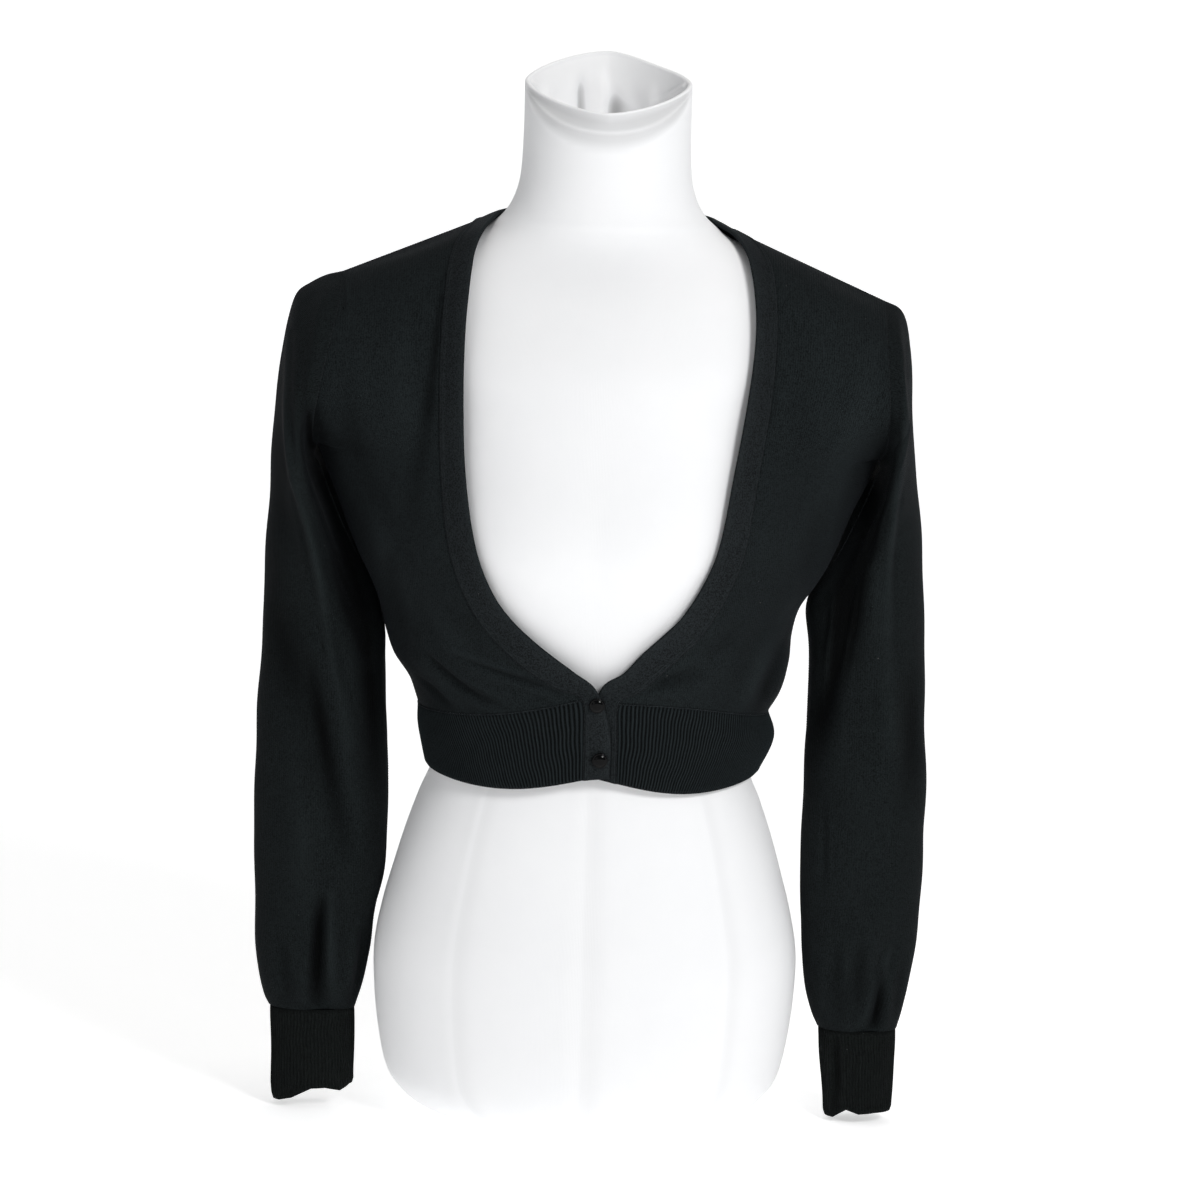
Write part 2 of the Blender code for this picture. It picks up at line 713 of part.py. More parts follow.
def body_row(start, end, power, columns, sag=0.0, bulge=0.0, lean=0.0):
    """Points from the side or armhole to the neckline or centre along one row."""
    side = 1 if start.x > 0 else -1
    wide, narrow = abs(start.x), abs(end.x)
    low, high = abs(start.y) ** power, abs(end.y) ** power
    face = 1 if start.y + end.y > 0 else -1
    full = math.acos(min((narrow / wide) ** (power / 2), 1.0))
    curved = max(1 - abs(start.y) / CURVED_UNTIL, 0.0)
    row = []
    for k in range(columns + 1):
        share = k / columns
        share -= lean * math.sin(math.pi * share)
        around = wide * max(math.cos(full * share), 0.0) ** (2 / power)
        straight = wide + (narrow - wide) * share
        x = curved * around + (1 - curved) * straight
        if k in (0, columns):
            x = wide if k == 0 else narrow
        turn = (wide ** power - x ** power) / (wide ** power - narrow ** power)
        run = (wide - x) / (wide - narrow)
        wave = math.sin(math.pi * run)
        y = face * ((low + (high - low) * turn) ** (1 / power) + bulge * wave)
        z = start.z + (end.z - start.z) * run + sag * wave
        row.append(Vector((side * x, y, z)))
    row[0], row[-1] = start.copy(), end.copy()
    return row


def armhole_points(side, face):
    """Armhole points from the armpit up to the shoulder."""
    track = Track(ARMHOLES[side][face])
    sign = Vector((SIDES[side], 1, 1))
    return [track.at(1 - j / ARM_ROWS) * sign for j in range(ARM_ROWS + 1)]


def side_points(side):
    """Side seam points from the waistband up to just under the armpit."""
    track = Track(SIDE_RIGHT if side == "right" else SIDE_LEFT)
    points = [track.at(j / LOW_ROWS) for j in range(LOW_ROWS)]
    return [Vector((SIDES[side] * p.x, 0.0, p.y)) for p in points]


def row_power(j):
    if j <= LOW_ROWS:
        return WAIST_POWER + (ARMPIT_POWER - WAIST_POWER) * smooth_step(j / LOW_ROWS)
    return ARMPIT_POWER + (2.0 - ARMPIT_POWER) * smooth_step((j - LOW_ROWS) / 4)


def front_grid(side, frames):
    starts = side_points(side) + armhole_points(side, "front")
    ends = [seam_point(("front", side, share), frames)
            for share in Neckline(side).panel_shares()]
    grid = []
    for j, (start, end) in enumerate(zip(starts, ends)):
        sag = waist_sag(side, WAISTBAND[0]) * max(1 - j / SIDE_SEAM_ROWS, 0.0)
        grid.append(body_row(start, end, row_power(j), FRONT_COLUMNS, sag))
    return grid


def back_stations(side):
    """Stations where the upper back rows end on the neck seam, centre back first."""
    turns = ARM_ROWS - CENTRE_ROWS
    stations = [("back", "right", 1.0)]
    stations += [("back", side, (turns - j) / turns) for j in range(1, turns)]
    return stations + [("front", side, 1.0)]


def back_grid(side, frames):
    starts = side_points(side) + armhole_points(side, "back")
    low, high = Track(CENTRE_BACK_LOW), Track(CENTRE_BACK_HIGH)
    centre = [low.at(j / LOW_ROWS) for j in range(LOW_ROWS)]
    centre += [high.at(j / CENTRE_ROWS) for j in range(CENTRE_ROWS)]
    ends = [Vector((0.0, p.x, p.y)) for p in centre]
    ends += [seam_point(station, frames) for station in back_stations(side)]
    grid = []
    for j, (start, end) in enumerate(zip(starts, ends)):
        rise = max(j - LOW_ROWS, 0) / ARM_ROWS
        full = math.sin(math.pi * rise ** 1.3)
        grid.append(body_row(start, end, row_power(j), BACK_COLUMNS, -BACK_DROOP * full,
                             BACK_BULGE * full))
    return grid


def seam_normal(points, j):
    """Normal of a seam that lies in the XZ plane, facing away from the body's middle."""
    before, after = points[max(j - 1, 0)], points[min(j + 1, len(points) - 1)]
    run = after - before
    normal = Vector((run.z, 0.0, -run.x)).normalized()
    middle = points[j]
    if normal.dot(middle - Vector((0, 0, middle.z - CENTRE_DROP))) < 0:
        normal.negate()
    return normal


def panel_normals(grid, frames, stations):
    """Grid normals with the seams' shared normals set along the edges."""
    normals = grid_normals(grid, False, body_centre)
    edge = [row[0] for row in grid]
    for j in range(LOW_ROWS + 1):
        normals[j][0] = seam_normal(edge[:LOW_ROWS + 1], j)
    top = grid[-1]
    for k in range(len(top)):
        normals[-1][k] = seam_normal(top, k)
    for j, station in stations.items():
        normals[j][-1] = frames[station][0]
    return normals


# ---------------------------------------------------------------- sleeves

def sleeve_grid(side):
    front = armhole_points(side, "front")[::-1]
    back = armhole_points(side, "back")
    loop = front + back[1:-1]
    count = len(loop)
    rows = SLEEVES[side]

    def ring(row, bow):
        outer = Vector((SIDES[side] * row.outer_x, 0, row.outer_z))
        inner = Vector((SIDES[side] * row.inner_x, 0, row.inner_z))
        middle, half = (outer + inner) / 2, (outer - inner) / 2
        points = []
        for k in range(count):
            angle = 2 * math.pi * k / count
            s = math.sin(angle)
            depth = row.front if s > 0 else row.back
            bulge = SIDES[side] * bow * abs(s)
            points.append(middle + half * math.cos(angle) + Vector((bulge, -depth * s, 0)))
        return points

    first = ring(rows[0], 0.0)
    grid = []
    for index, row in enumerate(rows):
        fade = max(1 - index / CAP_BLEND, 0.0)
        bow = CAP_BOW[side] * math.sin(math.pi * min(index / CAP_BOW_ROWS, 1.0))
        points = ring(row, bow)
        grid.append([point + (mark - plain) * fade
                     for point, mark, plain in zip(points, loop, first)])
    return tucked(side, rounded(side, relax(grid, RELAX_ROWS, RELAX_PASSES)))


def relax(grid, last, passes):
    """Ease a closed grid's rows, from the third to the last given, towards even bends."""
    for _ in range(passes):
        eased = [list(row) for row in grid]
        for j in range(2, last):
            count = len(grid[j])
            for k in range(count):
                around = grid[j][k - 1] + grid[j][(k + 1) % count]
                along = grid[j - 1][k] + grid[j + 1][k]
                eased[j][k] = grid[j][k] * 0.5 + (around + along) * 0.125
        grid = eased
    return grid


def rounded(side, grid):
    """Bring the rings' outer line back to its own table after the easing."""
    for points, row in list(zip(grid, SLEEVES[side]))[1:RELAX_ROWS]:
        outer = Vector((SIDES[side] * row.outer_x, 0, row.outer_z))
        step = outer - points[0]
        for away, share in enumerate(CAP_REACH):
            for k in {away, -away}:
                points[k] = points[k] + step * share
    return grid


def tucked(side, grid):
    """Lean the sleeve's underarm in behind the side of the body."""
    for points, amount in zip(grid, UNDERARM_TUCK[side]):
        underarm = len(points) // 2
        for column in TUCK_REACH:
            points[underarm + column.past].x -= SIDES[side] * amount * column.share
    return grid


def sleeve_normals(grid):
    middles = [sum(row, Vector()) / len(row) for row in grid]
    return grid_normals(grid, True, lambda j, _: middles[j])


def join_armhole(side, front, back, sleeve):
    """Give the armhole's points one shared normal and part the pieces by the seam gap."""
    (front_points, front_normals), (back_points, back_normals) = front, back
    sleeve_points, sleeve_lines = sleeve
    count = len(sleeve_points[0])
    loop = [point.copy() for point in sleeve_points[0]]
    shared = []
    for k in range(count):
        if k <= ARM_ROWS:
            body = front_normals[LOW_ROWS + ARM_ROWS - k][0]
        else:
            body = back_normals[LOW_ROWS + k - ARM_ROWS][0]
        own = sleeve_lines[0][k]
        normal = (body + own).normalized()
        lean = max(normal.dot(body), 0.8)
        tangent = loop[(k + 1) % count] - loop[k - 1]
        out = tangent.cross(normal).normalized()
        if out.x * SIDES[side] < 0:
            out.negate()
        shared.append((normal / lean, out * SEAM_GAP / 2))
    for k in range(count):
        normal, step = shared[k]
        sleeve_points[0][k] = loop[k] + step
        sleeve_lines[0][k] = normal
    for j in range(ARM_ROWS + 1):
        row = LOW_ROWS + j
        for points, normals, k in ((front_points, front_normals, ARM_ROWS - j),
                                   (back_points, back_normals, (ARM_ROWS + j) % count)):
            normal, step = shared[k]
            points[row][0] = loop[k] - step
            normals[row][0] = normal


def build_body(frames):
    """Fronts, back and sleeves."""
    back_patches = []
    half_gap = SEAM_GAP / 2
    for side in SIDES:
        neckline = Neckline(side)
        front = front_grid(side, frames)
        back = back_grid(side, frames)
        sleeve = sleeve_grid(side)
        front_stations = {j: ("front", side, share)
                          for j, share in enumerate(neckline.panel_shares())}
        first = LOW_ROWS + CENTRE_ROWS
        back_ends = {first + j: station for j, station in enumerate(back_stations(side))}
        front_lines = panel_normals(front, frames, front_stations)
        back_lines = panel_normals(back, frames, back_ends)
        centre = [row[-1] for row in back[:first + 1]]
        for j in range(first):
            before, after = centre[max(j - 1, 0)], centre[min(j + 1, first)]
            run = after - before
            back_lines[j][-1] = Vector((0.0, run.z, -run.y)).normalized()
        sleeve_lines = sleeve_normals(sleeve)
        front, back = folded(front, front_lines), folded(back, back_lines)
        sleeve = sleeve[:1] + folded(sleeve, sleeve_lines)[1:]
        join_armhole(side, (front, front_lines), (back, back_lines), (sleeve, sleeve_lines))
        for grid, sign in ((front, -1), (back, 1)):
            for j in range(LOW_ROWS + 1):
                grid[j][0] = grid[j][0] + Vector((0, sign * half_gap, 0))
            grid[-1] = [point + Vector((0, sign * half_gap, 0)) for point in grid[-1]]
        make_object("front_" + side, loft_shell([(front, inner_grid(front, front_lines))]),
                    KNIT, JERSEY_ROUGHNESS)
        make_object("sleeve_" + side,
                    loft_shell([(sleeve, inner_grid(sleeve, sleeve_lines))], closed=True),
                    KNIT, JERSEY_ROUGHNESS)
        back_patches.append((back, inner_grid(back, back_lines)))
    make_object("back", loft_shell(back_patches), KNIT, JERSEY_ROUGHNESS)


# ---------------------------------------------------------------- ribbed pieces

def raise_ribs(grid, normals, height):
    """Every second column of the outer grid stands up as a rib."""
    return [[point + normal * (height if k % 2 else 0.0)
             for k, (point, normal) in enumerate(zip(row, line))]
            for row, line in zip(grid, normals)]


def waistband_rows(side, face, columns, frames):
    neckline = Neckline(side)
    shares = [neckline.waist_share()] + neckline.placket_shares()[::-1]
    grid = []
    for level, (row, share) in enumerate(zip(WAISTBAND, shares)):
        x = row.right_x if side == "right" else row.left_x
        start = Vector((SIDES[side] * x, 0.0, row.side_z))
        lean = RIB_LEAN * (1 - level / (len(WAISTBAND) - 1))
        if face == "front":
            end = seam_point(("front", side, share), frames)
            if level == 0:
                end.z -= WAIST_SEAM_DROP
            sag = waist_sag(side, row)
            grid.append(body_row(start, end, WAIST_POWER, columns, sag, 0.0, lean))
        else:
            end = Vector((0.0, row.back_y, row.back_z))
            grid.append(body_row(start, end, WAIST_POWER, columns, 0.0, 0.0, lean))
    return grid


def sided_normals(grid, ends):
    """Grid normals whose first and last columns lie square to the seams named in ends."""
    normals = grid_normals(grid, False, body_centre)
    for line in normals:
        for end in ends:
            line[end] = Vector((line[end].x, 0.0, line[end].z)).normalized()
    return normals


def build_waistbands(frames):
    half_gap = SEAM_GAP / 2
    for side in SIDES:
        grid = waistband_rows(side, "front", 2 * RIB_FRONT, frames)
        normals = sided_normals(grid, (0,))
        for row in grid:
            row[0] = row[0] + Vector((0, -half_gap, 0))
        plain = inner_grid(grid, normals)
        skin = raise_ribs(grid, normals, RIB_HEIGHT)
        inner = [row[::LINING_STEP] for row in plain]
        make_object("waistband_" + side, ribbed_wall(skin, inner, False), KNIT, JERSEY_ROUGHNESS)
    halves = [waistband_rows(side, "back", RIB_BACK, frames) for side in SIDES]
    grid = [right + left[-2::-1] for right, left in zip(*halves)]
    normals = sided_normals(grid, (0, -1))
    for row in grid:
        row[0] = row[0] + Vector((0, half_gap, 0))
        row[-1] = row[-1] + Vector((0, half_gap, 0))
    plain = inner_grid(grid, normals)
    skin = raise_ribs(grid, normals, RIB_HEIGHT)
    inner = [row[::LINING_STEP] for row in plain]
    make_object("waistband_back", ribbed_wall(skin, inner, False), KNIT, JERSEY_ROUGHNESS)


def build_cuffs():
    for side, sign in SIDES.items():
        cuff = CUFFS[side]
        count = 2 * RIB_CUFF
        grid = []
        for level in CUFF_LEVELS:
            x, z, half, depth = (a + (b - a) * level for a, b in zip(cuff["top"], cuff["end"]))
            ring = []
            for k in range(count):
                angle = 2 * math.pi * k / count
                bottom = read(cuff["edge"], math.degrees(angle))
                top = cuff["top"][1] - SEAM_GAP
                ring.append(Vector((sign * (x + half * math.cos(angle)),
                                    -depth * math.sin(angle), top + (bottom - top) * level)))
            grid.append(ring)
        normals = sleeve_normals(grid)
        plain = inner_grid(grid, normals)
        skin = raise_ribs(grid, normals, CUFF_RIB_HEIGHT)
        inner = [row[::2] for row in plain]
        make_object("cuff_" + side, ribbed_wall(skin, inner, True), KNIT, JERSEY_ROUGHNESS)


# ---------------------------------------------------------------- buttons

def button_profile():
    """Radius and height from the middle of the back, round the edge, to the top of the dome."""
    profile = [(0.0, 0.0), (BUTTON_RADIUS - BUTTON_CHAMFER, 0.0), (BUTTON_RADIUS, BUTTON_EDGE)]
    for step in range(1, DOME_STEPS):
        angle = math.pi / 2 * step / DOME_STEPS
        profile.append((BUTTON_RADIUS * math.cos(angle),
                        BUTTON_EDGE + (BUTTON_HEIGHT - BUTTON_EDGE) * math.sin(angle)))
    return profile + [(0.0, BUTTON_HEIGHT)]


def build_buttons():
    profile = button_profile()
    for name, (x, z) in BUTTONS.items():
        face = chest_point("right", -x, z)
        aside, above = chest_point("right", 1 - x, z), chest_point("right", -x, z + 1)
        normal = (above - face).cross(aside - face).normalized()
        if normal.y > 0:
            normal.negate()
        data = bpy.data.meshes.new(name)
        points = [(radius * MM, 0.0, height * MM) for radius, height in profile]
        data.from_pydata(points, [(k, k + 1) for k in range(len(points) - 1)], [])
        item = link_object(name, data, BUTTON_BLACK, BUTTON_ROUGHNESS)
        turn = item.modifiers.new("turn", "SCREW")
        turn.axis = "Z"
        turn.steps = BUTTON_SIDES
        turn.render_steps = BUTTON_SIDES
        turn.use_merge_vertices = True
        turn.merge_threshold = 0.00001
        turn.use_normal_calculate = True
        item.location = (face + normal * (BAND_PROUD + BUTTON_STAND)) * MM
        item.rotation_euler = normal.to_track_quat("Z", "Y").to_euler()


def main():
    for leftover in list(bpy.data.objects):
        bpy.data.objects.remove(leftover, do_unlink=True)
    collection = bpy.data.collections.new(COLLECTION)
    bpy.context.scene.collection.children.link(collection)
    frames = band_frames()
    build_form()
    build_body(frames)
    build_band(frames)
    build_waistbands(frames)
    build_cuffs()
    build_buttons()


main()
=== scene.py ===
"""Looks of the knitted shrug and its dress form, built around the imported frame.

The tables and the coarse grids are the construction's own, in millimetres. Each piece of cloth is
a finer wall on the same form, with its creases, ribs, seams and stitches.
"""
import math
from collections import namedtuple

import bmesh
import bpy
import numpy as np
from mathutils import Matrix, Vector


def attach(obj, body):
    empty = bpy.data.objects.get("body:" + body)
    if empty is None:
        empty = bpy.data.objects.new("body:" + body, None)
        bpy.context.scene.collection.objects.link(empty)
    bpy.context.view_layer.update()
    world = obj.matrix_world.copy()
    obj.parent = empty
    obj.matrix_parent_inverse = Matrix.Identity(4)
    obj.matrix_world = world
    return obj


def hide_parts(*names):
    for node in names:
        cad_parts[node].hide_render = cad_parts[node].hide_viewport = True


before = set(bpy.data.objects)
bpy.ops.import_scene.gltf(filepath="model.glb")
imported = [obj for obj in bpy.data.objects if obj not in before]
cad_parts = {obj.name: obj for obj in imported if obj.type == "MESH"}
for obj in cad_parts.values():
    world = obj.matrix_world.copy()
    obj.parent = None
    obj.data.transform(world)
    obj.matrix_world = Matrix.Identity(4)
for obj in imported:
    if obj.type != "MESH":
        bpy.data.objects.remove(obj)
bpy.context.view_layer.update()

MM = 0.001


def named(columns, rows):
    """A table whose rows have named columns."""
    kind = namedtuple("Row", columns)
    return tuple(kind(*row) for row in rows)


# Cloth
WALL = 2.0              # jersey wall
SEAM_GAP = 0.3          # space left between pieces at a seam
BAND_WALL = 3.0         # folded neckband, two layers
BAND_PROUD = 0.5        # neckband outer face stands above the jersey
OVERLAP_LIFT = 3.4      # right front lies over the left by this much
LIFT_TOP = 384.0        # height where the right band starts to lift
LIFT_FULL = 352.0       # height where it lies fully over the left band

CENTRE_DROP = 40.0      # the inside that normals face away from lies this far below a point
WAIST_SEAM_DROP = 0.4   # waistband's top corner below the band's seam row

# Grid counts
LOW_ROWS = 10           # body rows from waistband to armpit
ARM_ROWS = 13           # body rows from armpit to shoulder seam
FRONT_COLUMNS = 10
BACK_COLUMNS = 9        # on each half of the back
CENTRE_ROWS = 6         # armhole rows that end on the centre back line
RIB_LEAN = 0.05         # upper rib ends sit this much further outward, as a share of the row

# Dress form, one row a level
FORM_RINGS = named("z half front back power", (
    (0, 108, 62, 66, 2.0),
    (4, 118, 72, 78, 2.0),
    (14, 132, 84, 94, 2.1),
    (33, 146, 94, 108, 2.2),
    (66, 153.5, 99, 116, 2.2),
    (101, 157, 100, 118, 2.2),
    (130, 157, 100, 117, 2.2),
    (160, 151.5, 98, 113, 2.2),
    (186, 144.5, 96, 107, 2.2),
    (215, 136, 94, 99, 2.2),
    (242, 126.5, 91, 90, 2.2),
    (263, 118, 89, 84.5, 2.2),
    (285, 116.5, 88, 82, 2.2),
    (312, 118.5, 91, 84, 2.2),
    (338, 122.5, 96, 88, 2.2),
    (364, 128, 103, 91, 2.2),
    (388, 132, 108.5, 94, 2.2),
    (412, 136.5, 113.5, 96, 2.2),
    (434, 140, 117, 97, 2.2),
    (462, 142, 115.5, 99, 2.2),
    (495, 143, 110.5, 99, 2.2),
    (530, 146, 106, 99, 2.2),
    (560, 153, 100, 98, 2.2),
    (582, 161, 90, 94, 2.1),
    (602, 165, 79, 87, 2.0),
    (616, 162, 70, 79, 2.0),
    (627, 153, 62, 71, 2.0),
    (635, 140, 56.5, 65.5, 2.0),
    (643, 122, 52, 61, 2.0),
    (651, 104, 49, 59, 2.0),
    (659, 88.5, 48, 58, 2.0),
    (665, 81, 48.5, 58.5, 2.0),
    (672, 73.5, 48.5, 58.5, 2.0),
    (683, 67, 49.5, 58, 2.0),
    (700, 62.5, 51.5, 57, 2.0),
    (730, 61, 53.5, 55.5, 2.0),
    (767, 61, 55, 55, 2.0),
))
BUST_X = 85.0
BUST_Z = 430.0
BUST_SPREAD = 45.0
BUST_RISE = 6.0
RIM_TILT = 22.0         # back of the neck rim above its middle, and the front as far below
RIM_BASE = 700.0        # the tilt grows from here
RIM_TOP = 767.0
NECK_RADIUS = 55.0
RECESS_FLOOR = 722.0    # flat floor of the open neck top

# Front neckline and placket: free edge and seam, one row a station. X runs outward from the
# centre line on the wearer's own side, so a piece past the centre has a negative X.
NECKLINE_COLUMNS = "edge_x edge_z seam_x seam_z"
NECKLINES = {"right": named(NECKLINE_COLUMNS, (
    (-14.0, 271.5, 4.6, 269.5),
    (-14.2, 295.0, 4.6, 293.0),
    (-13.2, 314.0, 4.7, 310.0),
    (-9.8, 326.5, 5.1, 321.0),
    (-4.0, 335.0, 7.0, 329.0),
    (9.0, 346.0, 19.0, 333.8),
    (23.0, 356.0, 34.0, 341.0),
    (41.0, 369.5, 53.6, 354.0),
    (58.0, 384.5, 72.5, 371.0),
    (73.0, 404.0, 90.0, 394.5),
    (86.0, 436.0, 104.5, 431.0),
    (95.0, 488.0, 112.5, 486.0),
    (98.0, 542.0, 115.0, 541.5),
    (98.0, 589.0, 115.0, 588.0),
    (96.0, 622.0, 113.5, 618.0),
    (93.0, 647.0, 111.0, 640.0),
    (87.0, 661.5, 105.5, 654.0),
    (77.5, 671.5, 96.0, 663.9),
)), "left": named(NECKLINE_COLUMNS, (
    (0.5, 271.5, 19.2, 267.0),
    (0.5, 293.0, 19.2, 293.0),
    (0.8, 312.0, 18.8, 308.0),
    (2.0, 325.0, 18.6, 318.5),
    (6.0, 336.0, 19.6, 326.3),
    (20.0, 346.5, 31.2, 332.6),
    (28.5, 356.0, 43.0, 342.5),
    (41.5, 369.5, 56.0, 355.0),
    (58.0, 384.5, 73.0, 371.5),
    (72.0, 404.0, 89.0, 394.3),
    (87.0, 436.0, 105.3, 430.5),
    (97.0, 488.0, 114.3, 485.0),
    (106.0, 542.0, 122.5, 539.7),
    (111.0, 589.0, 126.0, 588.0),
    (109.5, 622.0, 125.0, 617.0),
    (104.0, 647.0, 121.0, 640.0),
    (96.0, 659.5, 113.5, 652.5),
    (81.0, 668.5, 99.5, 660.5),
))}
WAIST_STATION = 4       # neckline row at the top of the waistband
CHEST_STATION = 11      # neckline row level with the armpit
CHEST_DEPTH = named("z depth", (
    (255, 97.5),
    (271, 99.0),
    (300, 101.5),
    (323, 104.0),
    (346, 107.5),
    (370, 113.5),
    (404, 121.5),
    (436, 126.5),
    (465, 125.0),
    (500, 119.0),
))
CHEST_HALF = 156.0      # width that the front curves round
CHEST_POWER = 2.2
ARCH_START = 500.0      # the chest rolls over to the shoulder from here

# Back neck and centre back
BACK_NECK_EDGE = (68.0, 676.0)      # y and z of the free edge at the centre back
BACK_NECK_SEAM = (79.5, 659.8)
# Centre back: y and z
CENTRE_BACK_LOW = ((93.5, 317), (96, 340), (99.5, 370), (103, 405), (106.5, 445), (109, 486))
CENTRE_BACK_HIGH = ((109, 486), (109, 515), (107.5, 550), (105, 582), (100.5, 607), (94, 629),
                    (87, 645), (79.5, 659.8))
BACK_BULGE = 13.0       # fullness over the shoulder blades
BACK_DROOP = 14.0
CURVED_UNTIL = 40.0     # rows that start nearer the side than this follow the body's curve

# Side seams: x outward and z
SIDE_SEAMS = {
    "right": ((128.5, 309), (131, 321), (140, 334), (150.5, 351), (155, 370), (161, 390),
              (168, 406), (179, 427), (189, 453), (200, 480), (207, 497)),
    "left": ((130.5, 309), (137, 321), (143, 334), (145.5, 351), (147, 370), (153, 390),
             (164, 406), (176, 427), (186, 453), (199, 480), (205.5, 497)),
}
WAIST_POWER = 2.1
ARMPIT_POWER = 1.6

# Armholes, from the shoulder seam to the armpit: x outward, y, z
ARMHOLES = {
    "right": {
        "front": ((191, 0, 625), (190.8, -20, 617), (191, -37, 604), (193.5, -48, 589),
                  (197, -54.5, 572), (200.5, -57, 554), (204, -54, 536), (207, -45, 521),
                  (208.5, -32, 509.5), (208.5, -16, 500.5), (207, 0, 497)),
        "back": ((191, 0, 625), (190.8, 22, 616.5), (191, 41, 603), (193.5, 53, 588),
                 (196.5, 60, 571), (199.5, 62.5, 553), (202.5, 59.5, 536), (205.5, 50, 521),
                 (207.5, 36, 509.5), (208, 18, 500.5), (207, 0, 497)),
    },
    "left": {
        "front": ((208, 0, 613.5), (207, -20, 606.5), (206.5, -36, 595.5), (207, -47, 581.5),
                  (208, -53.5, 566), (209, -56.5, 549), (209.8, -54, 532.5), (210, -45, 518.5),
                  (209.5, -32, 508.5), (208, -16, 500.3), (205.5, 0, 497)),
        "back": ((208, 0, 613.5), (207, 22, 606), (206.5, 40, 594.5), (206.5, 52, 580.5),
                 (207, 59, 565), (207.5, 62, 548), (208, 59, 532), (208.5, 50, 518.5),
                 (208.5, 36, 508.5), (207.5, 18, 500.3), (205.5, 0, 497)),
    },
}

# Sleeves, one row a ring, fanning round the armpit: outer and inner point, half depths
SLEEVE_COLUMNS = "outer_x outer_z inner_x inner_z front back"
SLEEVES = {
    "right": named(SLEEVE_COLUMNS, (
        (191, 625, 207, 497, 58, 63),
        (203, 621.6, 211, 489.5, 57.5, 62),
        (214, 616, 212, 482, 57, 61),
        (224, 608, 210.5, 473, 56, 59),
        (230, 590, 206, 462, 54, 57),
        (234, 567, 199, 450, 51, 54),
        (238, 532, 189.5, 436, 47, 50),
        (241, 494, 178.5, 419, 43, 46),
        (242, 451, 166.5, 396, 39, 42),
        (244, 400, 158, 368, 36, 39),
        (245.5, 348, 153.5, 340, 33, 36),
        (248, 300, 152, 298, 31, 34),
        (248.5, 254, 149.5, 255, 30, 33),
        (248.5, 211, 149.5, 212, 29, 32),
        (248, 180, 151.5, 181, 28.5, 31),
        (247.5, 148, 157.5, 149, 28, 30),
        (246, 122, 160, 123, 27, 28),
        (243, 99, 164.5, 100, 25, 26),
        (239, 84, 168.5, 85, 22, 23),
        (235, 76, 171, 76, 19.5, 20.5),
    )),
    "left": named(SLEEVE_COLUMNS, (
        (208, 613.5, 205.5, 497, 57.5, 62),
        (216, 610, 209.5, 491, 57, 61),
        (221, 604, 211, 484, 56, 60),
        (224.5, 593, 209.5, 475, 54, 57),
        (226.5, 576, 205, 464, 51.5, 54),
        (228.5, 552, 198, 451.5, 48.5, 51),
        (230.5, 522, 189, 438, 45, 48),
        (234, 488, 179, 421.5, 41.5, 44.5),
        (238, 455, 168.5, 404.5, 39, 42),
        (242, 410, 161, 384, 36, 39),
        (245, 358, 159.5, 350, 33, 36),
        (247.5, 306, 159.5, 304, 31, 34),
        (250, 252, 159, 254, 30, 33),
        (249, 220, 158.5, 221, 29, 32),
        (250, 187, 158.5, 188, 28.5, 31),
        (248, 158, 160, 159, 28, 30),
        (246.5, 130, 161.5, 131, 27, 28),
        (242.5, 104, 164.5, 104, 25, 26),
        (237.5, 83, 170, 83, 23, 24),
        (234.5, 71, 175.5, 71, 21, 22),
    )),
}
CAP_BLEND = 6           # sleeve rings over which the armhole shape fades out
CAP_BOW = {"right": 4.0, "left": 7.0}      # front and back of the cap stand outward by this
CAP_BOW_ROWS = 9
RELAX_ROWS = 9          # rings eased below the armhole
RELAX_PASSES = 9
CAP_REACH = (1.0, 0.8, 0.4, 0.1)   # share of the cap's roundness by columns from the outer line
# The sleeve's underarm leans in behind the body's side: amount for each ring from the armhole
UNDERARM_TUCK = {
    "right": (0, 3, 10, 13, 13.5, 12, 9.5, 8, 7, 3),
    "left": (0, 3, 10, 14, 14.5, 13.5, 11, 9, 9.5, 5),
}
# Share of that amount by columns past the underarm line, towards the back
TUCK_REACH = named("past share", ((-1, 0.35), (0, 0.65), (1, 1.0), (2, 1.0), (3, 0.4)))

# Cuffs: ring centre and half sizes at the seam and the open end, then the end's height round it
CUFFS = {
    "right": {"top": (202.8, 75.6, 31.4, 19.5), "end": (201.3, 0, 30.3, 18.5),
              "edge": ((0, 4.5), (35, 5), (60, 8), (90, 16), (110, 16.5), (135, 14),
                       (160, 18), (180, 18), (240, 17), (300, 9), (360, 4.5))},
    "left": {"top": (205, 70.6, 28.8, 20.5), "end": (207.5, 0, 25.2, 19.5),
             "edge": ((0, 8.5), (60, 9), (90, 8), (112, 11), (140, 4), (180, 3.5),
                      (240, 6), (300, 8), (360, 8.5))},
}
CUFF_LEVELS = (0.0, 0.45, 1.0)

# Waistband, one row a level from the seam down: half widths and height at the side seams, how far
# the front rises above a straight run, and the centre back
WAISTBAND = named("right_x left_x side_z right_sag left_sag back_y back_z", (
    (128.5, 130.5, 308.6, -4.0, 4.0, 93.5, 316.6),
    (127.6, 134.8, 290.0, -2.0, 1.0, 95.0, 297.0),
    (121.8, 124.0, 263.5, -7.0, -7.0, 90.0, 262.0),
))
SIDE_SEAM_ROWS = 4      # panel rows over which the waistband's rise or sag fades out

